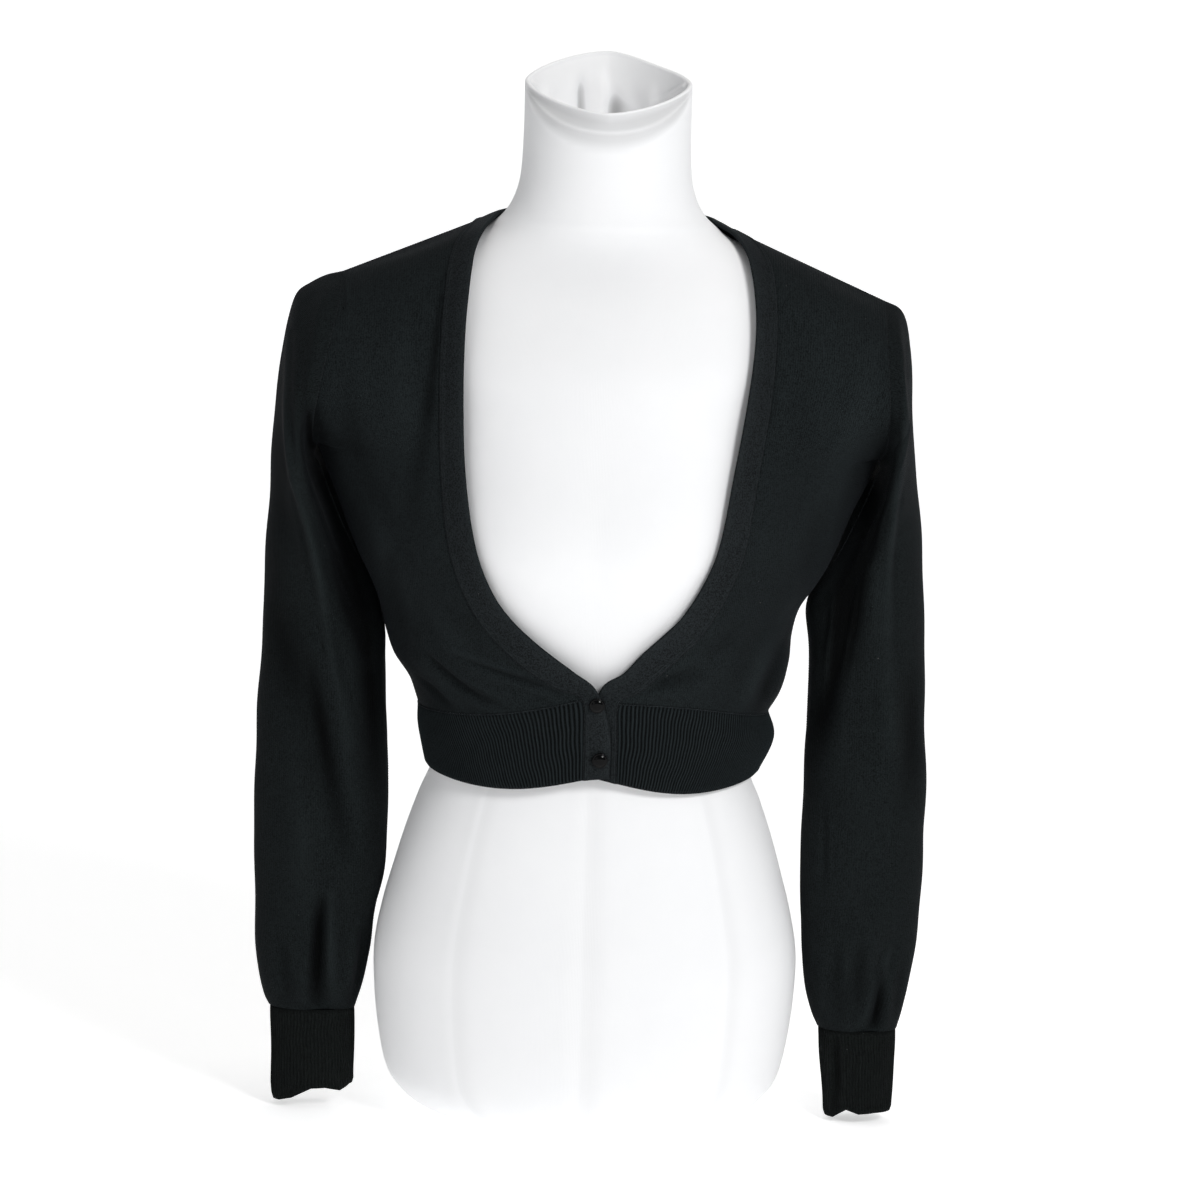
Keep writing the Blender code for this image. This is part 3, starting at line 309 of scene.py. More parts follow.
# Folds in the cloth's front (-1) or back (1) face: ends, height (troughs negative), half width
FOLDS = named("face x0 z0 x1 z1 height width", (
    (-1, -226, 590, -224, 490, 4.0, 9),
    (-1, -224, 490, -205, 415, 4.5, 10),
    (-1, -205, 415, -192, 310, 3.5, 12),
    (-1, -207, 505, -182, 425, -3.5, 8),
    (-1, -196, 154, -193, 84, -5.0, 9),
    (-1, 209, 576, 219, 524, 3.5, 10),
    (-1, 219, 524, 216, 456, 4.0, 10),
    (-1, 206, 500, 182, 425, -3.5, 8),
    (-1, 229, 142, 213, 78, -4.5, 9),
    (-1, -92, 352, -40, 334, -2.5, 7),
    (-1, -122, 362, -72, 337, 2.5, 8),
    (-1, 52, 338, 98, 350, 2.0, 9),
    (-1, 142, 378, 120, 335, -2.5, 8),
    (1, -204, 500, -180, 420, -4.0, 10),
    (1, 204, 500, 180, 420, -4.0, 10),
    (1, -216, 560, -206, 430, 3.5, 12),
    (1, 216, 560, 208, 430, 3.5, 12),
    (1, -198, 150, -196, 84, -4.0, 9),
    (1, 206, 150, 204, 80, -4.0, 9),
))

# Buttons: centre on the placket
BUTTONS = {"button_upper": (4.0, 325.8), "button_lower": (7.0, 285.2)}
BUTTON_HEIGHT = 3.2
BUTTON_STAND = 0.7      # from the band's face

SIDES = {"right": -1, "left": 1}


# ---------------------------------------------------------------- curves and tables

class Track:
    """A smooth curve through placed points, read by its share of the length."""

    def __init__(self, points):
        self.points = [Vector(point) for point in points]
        self.marks = [0.0]
        for start, end in zip(self.points, self.points[1:]):
            self.marks.append(self.marks[-1] + (end - start).length)

    def share(self, index):
        return self.marks[index] / self.marks[-1]

    def slope(self, index):
        before = max(index - 1, 0)
        after = min(index + 1, len(self.points) - 1)
        return (self.points[after] - self.points[before]) / (self.marks[after] - self.marks[before])

    def at(self, share):
        goal = min(max(share, 0.0), 1.0) * self.marks[-1]
        index = 0
        while index < len(self.points) - 2 and self.marks[index + 1] < goal:
            index += 1
        span = self.marks[index + 1] - self.marks[index]
        u = (goal - self.marks[index]) / span
        start, end = self.points[index], self.points[index + 1]
        leave, arrive = self.slope(index) * span, self.slope(index + 1) * span
        return (start * (2 * u ** 3 - 3 * u ** 2 + 1) + leave * (u ** 3 - 2 * u ** 2 + u)
                + end * (3 * u ** 2 - 2 * u ** 3) + arrive * (u ** 3 - u ** 2))


def read(table, key):
    """Second column of a table at a value of the first, in straight steps."""
    if key <= table[0][0]:
        return table[0][1]
    for (low, first), (high, second) in zip(table, table[1:]):
        if key <= high:
            return first + (second - first) * (key - low) / (high - low)
    return table[-1][1]


def on_side(side, x, z):
    """Point in the body's middle plane at an outward X and a height."""
    return Vector((SIDES[side] * x, 0.0, z))


def smooth_step(value):
    value = min(max(value, 0.0), 1.0)
    return value * value * (3 - 2 * value)


def run_at(line, j):
    """Run of a line of points past one of them, from the point before it to the one after."""
    return line[min(j + 1, len(line) - 1)] - line[max(j - 1, 0)]


def grid_normals(grid, closed, centre):
    """Unit normals of a grid of points, all on the side that faces away from the centre."""
    columns = list(zip(*grid))
    count = len(columns)
    normals = []
    for j, row in enumerate(grid):
        line = []
        for k in range(count):
            across = row[(k + 1) % count] - row[k - 1] if closed else run_at(row, k)
            line.append(across.cross(run_at(columns[k], j)).normalized())
        normals.append(line)
    j, k = len(grid) // 2, count // 3
    if normals[j][k].dot(grid[j][k] - centre(j, grid[j][k])) < 0:
        normals = [[-normal for normal in line] for line in normals]
    return normals


def body_centre(_, point):
    """A place inside the body below a point, so that normals face out and a little up."""
    return Vector((0.6 * point.x, 0.0, point.z - CENTRE_DROP))


def turned_out(normal, point):
    """A normal at a point, on the side that faces away from the body's middle."""
    away = point - Vector((0, 0, point.z - CENTRE_DROP))
    return -normal if normal.dot(away) < 0 else normal


def folded(grid, normals):
    """Push a grid's points out and in along the table of folds."""
    result = []
    for row, line in zip(grid, normals):
        moved = []
        for point, normal in zip(row, line):
            rise = 0.0
            for fold in FOLDS:
                if fold.face * normal.y <= 0:
                    continue
                run = Vector((fold.x1 - fold.x0, fold.z1 - fold.z0))
                offset = Vector((point.x - fold.x0, point.z - fold.z0))
                along = min(max(offset.dot(run) / run.length_squared, 0.0), 1.0)
                distance = (offset - run * along).length
                rise += fold.height * math.exp(-(distance / fold.width) ** 2)
            moved.append(point + normal * rise * abs(normal.y))
        result.append(moved)
    return result


# ---------------------------------------------------------------- neckline and band

def shoulder_line(side):
    """Height of the shoulder seam line at an outward X."""
    table = NECKLINES[side]
    neck_x, neck_z = table[-1][0], table[-1][1]
    tip_x, _, tip_z = ARMHOLES[side]["front"][0]
    slope = (tip_z - neck_z) / (tip_x - neck_x)
    return lambda x: neck_z + slope * (x - neck_x)


def chest_point(side, x, z):
    """Point of the cloth's front at an outward X and a height."""
    depth = read(CHEST_DEPTH, z)
    reach = max(1 - (abs(x) / CHEST_HALF) ** CHEST_POWER, 0.0) ** (1 / CHEST_POWER)
    top = shoulder_line(side)(x)
    if z > ARCH_START:
        rise = min((z - ARCH_START) / (top - ARCH_START), 1.0)
        reach *= (1 - rise ** CHEST_POWER) ** (1 / CHEST_POWER)
    lift = 0.0
    if side == "right":
        lift = OVERLAP_LIFT * smooth_step((LIFT_TOP - z) / (LIFT_TOP - LIFT_FULL))
    return Vector((SIDES[side] * x, -(depth * reach + lift), min(z, top)))


class Neckline:
    """One half of the neckline, hem to shoulder: free edge and seam on the cloth's face."""

    def __init__(self, side):
        self.side = side
        self.track = Track(NECKLINES[side])

    def at(self, share, across):
        edge_x, edge_z, seam_x, seam_z = self.track.at(share)
        x = edge_x + (seam_x - edge_x) * across
        z = edge_z + (seam_z - edge_z) * across
        if share >= 1.0:
            return on_side(self.side, x, shoulder_line(self.side)(x))
        return chest_point(self.side, x, z)

    def waist_share(self):
        return self.track.share(WAIST_STATION)

    def panel_shares(self):
        """Shares of the front panel's rows, waistband to shoulder."""
        low, chest = self.waist_share(), self.track.share(CHEST_STATION)
        shares = [low + (chest - low) * j / LOW_ROWS for j in range(LOW_ROWS)]
        shares += [chest + (1.0 - chest) * j / ARM_ROWS for j in range(ARM_ROWS + 1)]
        return shares

    def placket_shares(self):
        """Shares of the waistband's rows, hem first."""
        low = self.waist_share()
        levels = len(WAISTBAND) - 1
        return [low * j / levels for j in range(levels)]


def back_neck(side, turn, across):
    """Point of the back neckband; turn runs 0 at the shoulder to 1 at the centre back."""
    table = NECKLINES[side]
    angle = math.pi / 2 * turn
    edge_x, edge_z, seam_x, seam_z = table[-1]
    edge = Vector((edge_x * math.cos(angle), BACK_NECK_EDGE[0] * math.sin(angle),
                   edge_z + (BACK_NECK_EDGE[1] - edge_z) * math.sin(angle)))
    seam_z = shoulder_line(side)(seam_x)
    seam = Vector((seam_x * math.cos(angle), BACK_NECK_SEAM[0] * math.sin(angle),
                   seam_z + (BACK_NECK_SEAM[1] - seam_z) * math.sin(angle)))
    point = edge.lerp(seam, across)
    point.x *= SIDES[side]
    return point


def band_stations():
    """Section makers of the neckband in order, right hem to left hem."""
    right, left = Neckline("right"), Neckline("left")
    turns = ARM_ROWS - CENTRE_ROWS
    stations = []
    for line, side in ((right, "right"), (left, "left")):
        half = [("front", side, share) for share in line.placket_shares() + line.panel_shares()]
        half += [("back", side, j / turns) for j in range(1, turns + 1)]
        stations.append(half)
    stations[1].pop()
    return stations[0] + stations[1][::-1]


def band_point(station, across):
    kind, side, share = station
    if kind == "front":
        return Neckline(side).at(share, across)
    return back_neck(side, share, across)


def band_frames():
    """Normal and outward across-direction at each station, keyed by the station."""
    stations = band_stations()
    middles = [band_point(station, 0.5) for station in stations]
    frames = {}
    for index, station in enumerate(stations):
        across = (band_point(station, 1.0) - band_point(station, 0.0)).normalized()
        normal = run_at(middles, index).cross(across).normalized()
        frames[station] = (turned_out(normal, middles[index]), across)
    return frames


def seam_point(station, frames):
    """Where a panel meets the band: the band's seam, one gap further out."""
    return band_point(station, 1.0) + frames[station][1] * SEAM_GAP


# ---------------------------------------------------------------- body panels

def waist_sag(side, row):
    """How far a waistband row rises above the straight line from side to placket."""
    return row.right_sag if side == "right" else row.left_sag


def body_row(start, end, power, columns, sag=0.0, bulge=0.0, lean=0.0):
    """Points from the side or armhole to the neckline or centre along one row."""
    side = 1 if start.x > 0 else -1
    wide, narrow = abs(start.x), abs(end.x)
    low, high = abs(start.y) ** power, abs(end.y) ** power
    face = 1 if start.y + end.y > 0 else -1
    full = math.acos(min((narrow / wide) ** (power / 2), 1.0))
    curved = max(1 - abs(start.y) / CURVED_UNTIL, 0.0)
    row = []
    for k in range(columns + 1):
        share = k / columns
        share -= lean * math.sin(math.pi * share)
        around = wide * max(math.cos(full * share), 0.0) ** (2 / power)
        straight = wide + (narrow - wide) * share
        x = curved * around + (1 - curved) * straight
        if k in (0, columns):
            x = wide if k == 0 else narrow
        turn = (wide ** power - x ** power) / (wide ** power - narrow ** power)
        run = (wide - x) / (wide - narrow)
        wave = math.sin(math.pi * run)
        y = face * ((low + (high - low) * turn) ** (1 / power) + bulge * wave)
        z = start.z + (end.z - start.z) * run + sag * wave
        row.append(Vector((side * x, y, z)))
    row[0], row[-1] = start.copy(), end.copy()
    return row


def armhole_points(side, face):
    """Armhole points from the armpit up to the shoulder."""
    track = Track(ARMHOLES[side][face])
    sign = Vector((SIDES[side], 1, 1))
    return [track.at(1 - j / ARM_ROWS) * sign for j in range(ARM_ROWS + 1)]


def side_points(side):
    """Side seam points from the waistband up to just under the armpit."""
    track = Track(SIDE_SEAMS[side])
    points = [track.at(j / LOW_ROWS) for j in range(LOW_ROWS)]
    return [on_side(side, *point) for point in points]


def row_power(j):
    if j <= LOW_ROWS:
        return WAIST_POWER + (ARMPIT_POWER - WAIST_POWER) * smooth_step(j / LOW_ROWS)
    return ARMPIT_POWER + (2.0 - ARMPIT_POWER) * smooth_step((j - LOW_ROWS) / 4)


def front_grid(side, frames):
    starts = side_points(side) + armhole_points(side, "front")
    ends = [seam_point(("front", side, share), frames)
            for share in Neckline(side).panel_shares()]
    grid = []
    for j, (start, end) in enumerate(zip(starts, ends)):
        sag = waist_sag(side, WAISTBAND[0]) * max(1 - j / SIDE_SEAM_ROWS, 0.0)
        grid.append(body_row(start, end, row_power(j), FRONT_COLUMNS, sag))
    return grid


def back_stations(side):
    """Stations where the upper back rows end on the neck seam, centre back first."""
    turns = ARM_ROWS - CENTRE_ROWS
    stations = [("back", "right", 1.0)]
    stations += [("back", side, (turns - j) / turns) for j in range(1, turns)]
    return stations + [("front", side, 1.0)]


def back_grid(side, frames):
    starts = side_points(side) + armhole_points(side, "back")
    low, high = Track(CENTRE_BACK_LOW), Track(CENTRE_BACK_HIGH)
    centre = [low.at(j / LOW_ROWS) for j in range(LOW_ROWS)]
    centre += [high.at(j / CENTRE_ROWS) for j in range(CENTRE_ROWS)]
    ends = [Vector((0.0, p.x, p.y)) for p in centre]
    ends += [seam_point(station, frames) for station in back_stations(side)]
    grid = []
    for j, (start, end) in enumerate(zip(starts, ends)):
        rise = max(j - LOW_ROWS, 0) / ARM_ROWS
        full = math.sin(math.pi * rise ** 1.3)
        grid.append(body_row(start, end, row_power(j), BACK_COLUMNS, -BACK_DROOP * full,
                             BACK_BULGE * full))
    return grid


def seam_normal(points, j):
    """Normal of a seam that lies in the XZ plane, facing away from the body's middle."""
    run = run_at(points, j)
    return turned_out(Vector((run.z, 0.0, -run.x)).normalized(), points[j])


def panel_normals(grid, frames, stations):
    """Grid normals with the seams' shared normals set along the edges."""
    normals = grid_normals(grid, False, body_centre)
    edge = [row[0] for row in grid]
    for j in range(LOW_ROWS + 1):
        normals[j][0] = seam_normal(edge[:LOW_ROWS + 1], j)
    top = grid[-1]
    for k in range(len(top)):
        normals[-1][k] = seam_normal(top, k)
    for j, station in stations.items():
        normals[j][-1] = frames[station][0]
    return normals


# ---------------------------------------------------------------- sleeves

def sleeve_grid(side):
    front = armhole_points(side, "front")[::-1]
    back = armhole_points(side, "back")
    loop = front + back[1:-1]
    count = len(loop)
    rows = SLEEVES[side]

    def ring(row, bow):
        outer, inner = (on_side(side, x, z) for x, z in (row[0:2], row[2:4]))
        middle, half = (outer + inner) / 2, (outer - inner) / 2
        points = []
        for k in range(count):
            angle = 2 * math.pi * k / count
            s = math.sin(angle)
            depth = row.front if s > 0 else row.back
            bulge = SIDES[side] * bow * abs(s)
            points.append(middle + half * math.cos(angle) + Vector((bulge, -depth * s, 0)))
        return points

    first = ring(rows[0], 0.0)
    grid = []
    for index, row in enumerate(rows):
        fade = max(1 - index / CAP_BLEND, 0.0)
        bow = CAP_BOW[side] * math.sin(math.pi * min(index / CAP_BOW_ROWS, 1.0))
        points = ring(row, bow)
        grid.append([point + (mark - plain) * fade
                     for point, mark, plain in zip(points, loop, first)])
    return tucked(side, rounded(side, relax(grid, RELAX_ROWS, RELAX_PASSES)))


def relax(grid, last, passes):
    """Ease a closed grid's rows, from the third to the last given, towards even bends."""
    for _ in range(passes):
        eased = [list(row) for row in grid]
        for j in range(2, last):
            count = len(grid[j])
            for k in range(count):
                around = grid[j][k - 1] + grid[j][(k + 1) % count]
                along = grid[j - 1][k] + grid[j + 1][k]
                eased[j][k] = grid[j][k] * 0.5 + (around + along) * 0.125
        grid = eased
    return grid


def rounded(side, grid):
    """Bring the rings' outer line back to its own table after the easing."""
    for points, row in list(zip(grid, SLEEVES[side]))[1:RELAX_ROWS]:
        step = on_side(side, row.outer_x, row.outer_z) - points[0]
        for away, share in enumerate(CAP_REACH):
            for k in {away, -away}:
                points[k] = points[k] + step * share
    return grid


def tucked(side, grid):
    """Lean the sleeve's underarm in behind the side of the body."""
    for points, amount in zip(grid, UNDERARM_TUCK[side]):
        underarm = len(points) // 2
        for column in TUCK_REACH:
            points[underarm + column.past].x -= SIDES[side] * amount * column.share
    return grid


def sleeve_normals(grid):
    middles = [sum(row, Vector()) / len(row) for row in grid]
    return grid_normals(grid, True, lambda j, _: middles[j])


def join_armhole(side, front, back, sleeve):
    """Give the armhole's points one shared normal and part the pieces by the seam gap."""
    (front_points, front_normals), (back_points, back_normals) = front, back
    sleeve_points, sleeve_lines = sleeve
    count = len(sleeve_points[0])
    loop = [point.copy() for point in sleeve_points[0]]
    shared = []
    for k in range(count):
        if k <= ARM_ROWS:
            body = front_normals[LOW_ROWS + ARM_ROWS - k][0]
        else:
            body = back_normals[LOW_ROWS + k - ARM_ROWS][0]
        own = sleeve_lines[0][k]
        normal = (body + own).normalized()
        lean = max(normal.dot(body), 0.8)
        tangent = loop[(k + 1) % count] - loop[k - 1]
        out = tangent.cross(normal).normalized()
        if out.x * SIDES[side] < 0:
            out.negate()
        shared.append((normal / lean, out * SEAM_GAP / 2))
    for k in range(count):
        normal, step = shared[k]
        sleeve_points[0][k] = loop[k] + step
        sleeve_lines[0][k] = normal
    for j in range(ARM_ROWS + 1):
        row = LOW_ROWS + j
        for points, normals, k in ((front_points, front_normals, ARM_ROWS - j),
                                   (back_points, back_normals, (ARM_ROWS + j) % count)):
            normal, step = shared[k]
            points[row][0] = loop[k] - step
            normals[row][0] = normal


def waistband_rows(side, face, columns, frames):
    neckline = Neckline(side)
    shares = [neckline.waist_share()] + neckline.placket_shares()[::-1]
    grid = []
    for level, (row, share) in enumerate(zip(WAISTBAND, shares)):
        x = row.right_x if side == "right" else row.left_x
        start = on_side(side, x, row.side_z)
        lean = RIB_LEAN * (1 - level / (len(WAISTBAND) - 1))
        end, sag = Vector((0.0, row.back_y, row.back_z)), 0.0
        if face == "front":
            end, sag = seam_point(("front", side, share), frames), waist_sag(side, row)
            if level == 0:
                end.z -= WAIST_SEAM_DROP
        grid.append(body_row(start, end, WAIST_POWER, columns, sag, 0.0, lean))
    return grid


def sided_normals(grid, ends):
    """Grid normals whose first and last columns lie square to the seams named in ends."""
    normals = grid_normals(grid, False, body_centre)
    for line in normals:
        for end in ends:
            line[end] = Vector((line[end].x, 0.0, line[end].z)).normalized()
    return normals


def cuff_rings(side, count):
    """Rings of a cuff, from its seam down to its open end."""
    cuff = CUFFS[side]
    grid = []
    for level in CUFF_LEVELS:
        x, _, half, depth = (a + (b - a) * level for a, b in zip(cuff["top"], cuff["end"]))
        ring = []
        for k in range(count):
            angle = 2 * math.pi * k / count
            bottom = read(cuff["edge"], math.degrees(angle))
            top = cuff["top"][1] - SEAM_GAP
            ring.append(Vector((SIDES[side] * (x + half * math.cos(angle)),
                                -depth * math.sin(angle), top + (bottom - top) * level)))
        grid.append(ring)
    return grid


def side_grids(side, frames):
    """Coarse points and normals of one side's front, half back and sleeve."""
    neckline = Neckline(side)
    front = front_grid(side, frames)
    back = back_grid(side, frames)
    sleeve = sleeve_grid(side)
    front_stations = {j: ("front", side, share)
                      for j, share in enumerate(neckline.panel_shares())}
    first = LOW_ROWS + CENTRE_ROWS
    back_ends = {first + j: station for j, station in enumerate(back_stations(side))}
    front_lines = panel_normals(front, frames, front_stations)
    back_lines = panel_normals(back, frames, back_ends)
    centre = [row[-1] for row in back[:first + 1]]
    for j in range(first):
        run = run_at(centre, j)
        back_lines[j][-1] = Vector((0.0, run.z, -run.y)).normalized()
    sleeve_lines = sleeve_normals(sleeve)
    front, back = folded(front, front_lines), folded(back, back_lines)
    sleeve = sleeve[:1] + folded(sleeve, sleeve_lines)[1:]
    join_armhole(side, (front, front_lines), (back, back_lines), (sleeve, sleeve_lines))
    return (front, front_lines), (back, back_lines), (sleeve, sleeve_lines)


# ---------------------------------------------------------------- finish: sizes

FINE_ROWS = 8           # fine rows to each coarse row of a jersey piece
FINE_COLUMNS = 8
RIB_COLUMNS = 6         # fine columns to each rib
FINE_RIB_FRONT = 77     # ribs to each front, the back and each cuff, as fine as they are knitted
FINE_RIB_BACK = 160
FINE_RIB_CUFF = 72
FINE_RIB_HEIGHT = 0.6
RIB_SLANT = 3.5         # the front's ribs lean in at the hem and out at the top by this much
RIB_MIDDLE = 0.55       # share of a rib's height at which its painted light is even: painted highlight above, painted shade below
RIB_ROUND = 1.2         # power that rounds a rib's section
RIB_SINK = 0.4          # share of a rib's height that its groove lies under the face
RIB_END = 0.35          # share of its height that a rib keeps at its ends
RIB_TURN = 1.6          # the open edge turns under over this much of its length
RIB_TURN_DEPTH = 0.8
RIB_STILL = 18.0        # columns over which the wobble fades out at a side seam
RIB_FADE_LOW = 2.2      # the ribs rise over this much of their length from the open edge
RIB_FADE_TOP = 2.0      # and over this much from the seam
RIB_SPAN = 1.3          # height of a rib over its groove, as a share of the given height
RIB_UNEVEN = 0.2        # share by which the ribs' painted light comes and goes
# painted highlight on the ribs and painted shade in their grooves, by piece
RIB_PAINTED_LIGHT = {"waistband": 2.5, "cuff": 0.18}
# Waves that carry the ribs aside: length down the rib, lag from column to column, height
RIB_WOBBLE = ((3.1, 0.045, 0.22), (5.7, 0.013, 0.3), (11.0, 0.02, 0.35))
RIB_ROWS = 10           # fine rows to each level of a ribbed piece
BAND_FINE = 8           # fine stations to each station of the neckband
FORM_FINE = 4
FORM_FINE_SIDES = 216
MARGINS = (0.5, 1.2)    # extra rows and columns this far in from a jersey piece's edges
# Height of a jersey piece's face by the distance from its edge
EDGE_PROFILE = ((0.0, -0.45), (0.5, -0.06), (1.2, 0.08), (3.0, 0.0))
NECK_CORNER = (LOW_ROWS + CENTRE_ROWS) * FINE_ROWS      # back's row at the centre of the neck
KNIT_FRONT = 115.0      # nearer the side than this Y, the body's knit bends in
KNIT_ACROSS = 0.35      # share of that way added across it, and where it ends: height and reach
KNIT_ACROSS_END = (480.0, 100.0)
KNIT_UP = 0.45          # share added up it over the shoulder, and where it starts
KNIT_UP_START = (545.0, 70.0)
WALE = 1.75             # width of one column of stitches
COURSE = 1.35           # height of one row of stitches
SEAM_STITCH = 1.9       # length of one stitch in a seam
# Seam chains: radius, and how far they lie over the cloth's face and above the seam's line
SEAMS = {"jersey": (0.75, -0.62, 0.0), "waistband": (0.6, 0.15, 0.2), "cuff": (1.0, -1.0, 0.15),
         "neckband": (0.7, -0.4, 0.0)}
CHAIN_SIDES = 6
CHAIN_STEPS = 4         # rings to a stitch
CHAIN_SWELL = 0.2       # share of the radius by which the girth swells and shrinks

# Creases by piece and face (-1 front, 1 back): x and z of three points, height and half width
CREASES = {
    ("sleeve_right", -1): (
        (-228, 579, -227, 506, -219, 469, 2.4, 2.6), (-221, 474, -206, 426, -197, 374, 2.6, 2.8),
        (-197, 374, -187, 326, -177, 277, 1.8, 3.6), (-235, 526, -232, 474, -222, 429, -2.0, 8),
        (-209, 523, -205, 482, -191, 438, -5.5, 6), (-193, 445, -179, 401, -166, 360, -5.5, 9),
        (-167, 364, -161, 312, -158, 252, -3.5, 8), (-206, 340, -193, 270, -178, 199, -3.0, 6),
        (-196, 161, -198, 116, -197, 80, -4.2, 4), (-189, 169, -189, 124, -190, 83, 2.4, 5),
        (-165, 136, -167, 102, -171, 83, -3.0, 4), (-236, 377, -224, 340, -219, 306, -2.0, 9),
        (-215, 258, -211, 205, -212, 161, 1.4, 9), (-226, 130, -222, 104, -219, 81, -1.6, 5),
    ),
    ("sleeve_left", -1): (
        (218, 565, 221, 528, 218, 479, 2.2, 2.4), (217, 487, 214, 431, 215, 374, 2.0, 2.8),
        (214, 378, 217, 330, 220, 285, 1.2, 5), (206, 513, 203, 479, 197, 434, -5.5, 6),
        (197, 438, 185, 404, 181, 359, -5.5, 11), (181, 359, 172, 321, 167, 283, -3.5, 7),
        (191, 411, 187, 374, 181, 338, 1.4, 1.8), (173, 407, 173, 373, 169, 321, 1.4, 1.8),
        (233, 341, 237, 300, 236, 248, -2.2, 7), (220, 120, 219, 94, 215, 71, -4.2, 4),
        (226, 136, 218, 105, 210, 74, 2.6, 3.5), (205, 139, 203, 112, 201, 90, -2.4, 6),
        (174, 246, 175, 209, 176, 172, -1.0, 2.2), (238, 128, 235, 102, 230, 76, -1.8, 5),
        (186, 134, 188, 108, 191, 82, -1.8, 5),
    ),
    ("cuff_left", -1): (
        (189, 67, 190, 39, 191, 10, -2.4, 2.6),
    ),
    ("sleeve_right", 1): (
        (-206, 520, -195, 465, -176, 415, -3.5, 6), (-216, 540, -212, 480, -200, 420, 2.6, 6),
        (-228, 560, -230, 500, -228, 440, -1.9, 6), (-196, 420, -184, 360, -180, 300, 2.1, 7),
        (-220, 410, -214, 340, -218, 270, -2.1, 7), (-176, 300, -172, 240, -178, 180, -1.6, 6),
        (-206, 270, -200, 200, -203, 150, 1.6, 7), (-186, 160, -188, 118, -187, 79, -2.6, 4),
        (-196, 140, -197, 110, -196, 80, 1.9, 4), (-208, 170, -206, 120, -205, 79, -2.2, 4),
        (-220, 150, -218, 112, -214, 80, 1.9, 4),
    ),
    ("sleeve_left", 1): (
        (205, 525, 196, 470, 180, 415, -3.5, 6), (215, 540, 212, 480, 202, 420, 2.6, 6),
        (226, 540, 230, 480, 226, 420, -1.8, 6), (196, 400, 186, 340, 184, 290, 1.9, 7),
        (222, 380, 216, 310, 220, 250, -1.9, 7), (178, 290, 176, 230, 182, 170, 1.6, 6),
        (208, 240, 202, 185, 204, 130, -1.8, 6), (192, 165, 193, 118, 193, 74, -2.6, 4),
        (212, 160, 211, 116, 209, 74, 2.1, 4), (224, 150, 221, 112, 217, 75, -2.1, 4),
    ),
    ("front_right", -1): (
        (-100, 356, -56, 343, -12, 333, -2.4, 2.4), (-110, 362, -60, 345, -30, 337, 1.0, 4.5),
        (-122, 356, -98, 336, -66, 321, -2.4, 2.6), (-134, 352, -112, 334, -96, 316, 1.1, 4),
        (-128, 334, -114, 325, -98, 314, -1.8, 2.4), (-122, 395, -104, 370, -84, 350, 1.0, 7),
        (-150, 420, -146, 390, -136, 355, -1.8, 6), (-172, 470, -158, 440, -150, 405, 1.0, 7),
        (-185, 560, -176, 500, -160, 450, -1.0, 8), (-188, 630, -190, 614, -189, 600, -2.2, 2.2),
        (-113, 628, -117, 585, -124, 525, -1.5, 3.6), (-122, 545, -128, 500, -134, 450, -0.9, 5),
        (-145, 600, -142, 540, -136, 480, 0.8, 10),
    ),
    ("front_left", -1): (
        (22, 331, 46, 341, 74, 347, -1.6, 4.5), (30, 345, 60, 356, 92, 360, 0.9, 6),
        (140, 368, 132, 342, 124, 317, -2.2, 5), (128, 372, 118, 345, 110, 319, 1.2, 5),
        (148, 420, 140, 385, 124, 352, 1.1, 7), (108, 385, 84, 362, 60, 345, -0.8, 7),
        (166, 470, 158, 440, 148, 400, -1.0, 7), (196, 585, 184, 520, 166, 455, 0.9, 9),
        (204, 600, 206, 588, 205, 576, -1.2, 2.5), (140, 590, 146, 530, 138, 470, -0.7, 12),
    ),
    ("back", 1): (
        (-150, 560, -120, 500, -110, 430, -1.3, 8), (150, 556, 124, 495, 112, 420, -1.4, 8),
        (-60, 560, -40, 490, -46, 410, 1.0, 10), (48, 540, 36, 470, 44, 400, 1.1, 10),
        (-130, 420, -100, 380, -70, 330, -1.4, 6), (132, 414, 104, 372, 66, 330, -1.3, 6),
        (-96, 400, -70, 370, -40, 340, 1.2, 6), (90, 395, 60, 362, 30, 336, 1.2, 6),
        (-30, 400, -16, 365, -12, 325, -1.0, 5), (16, 392, 12, 360, 4, 324, 0.9, 5),
        (-140, 370, -128, 345, -120, 320, 1.2, 5), (138, 372, 130, 346, 122, 320, 1.2, 5),
        (-90, 640, -50, 618, 0, 612, -0.8, 8), (96, 634, 50, 612, 10, 606, 0.8, 9),
        (-180, 520, -168, 480, -158, 440, 1.1, 7), (182, 515, 170, 476, 160, 436, 1.1, 7),
    ),
}
CREASE_SPANS = 6
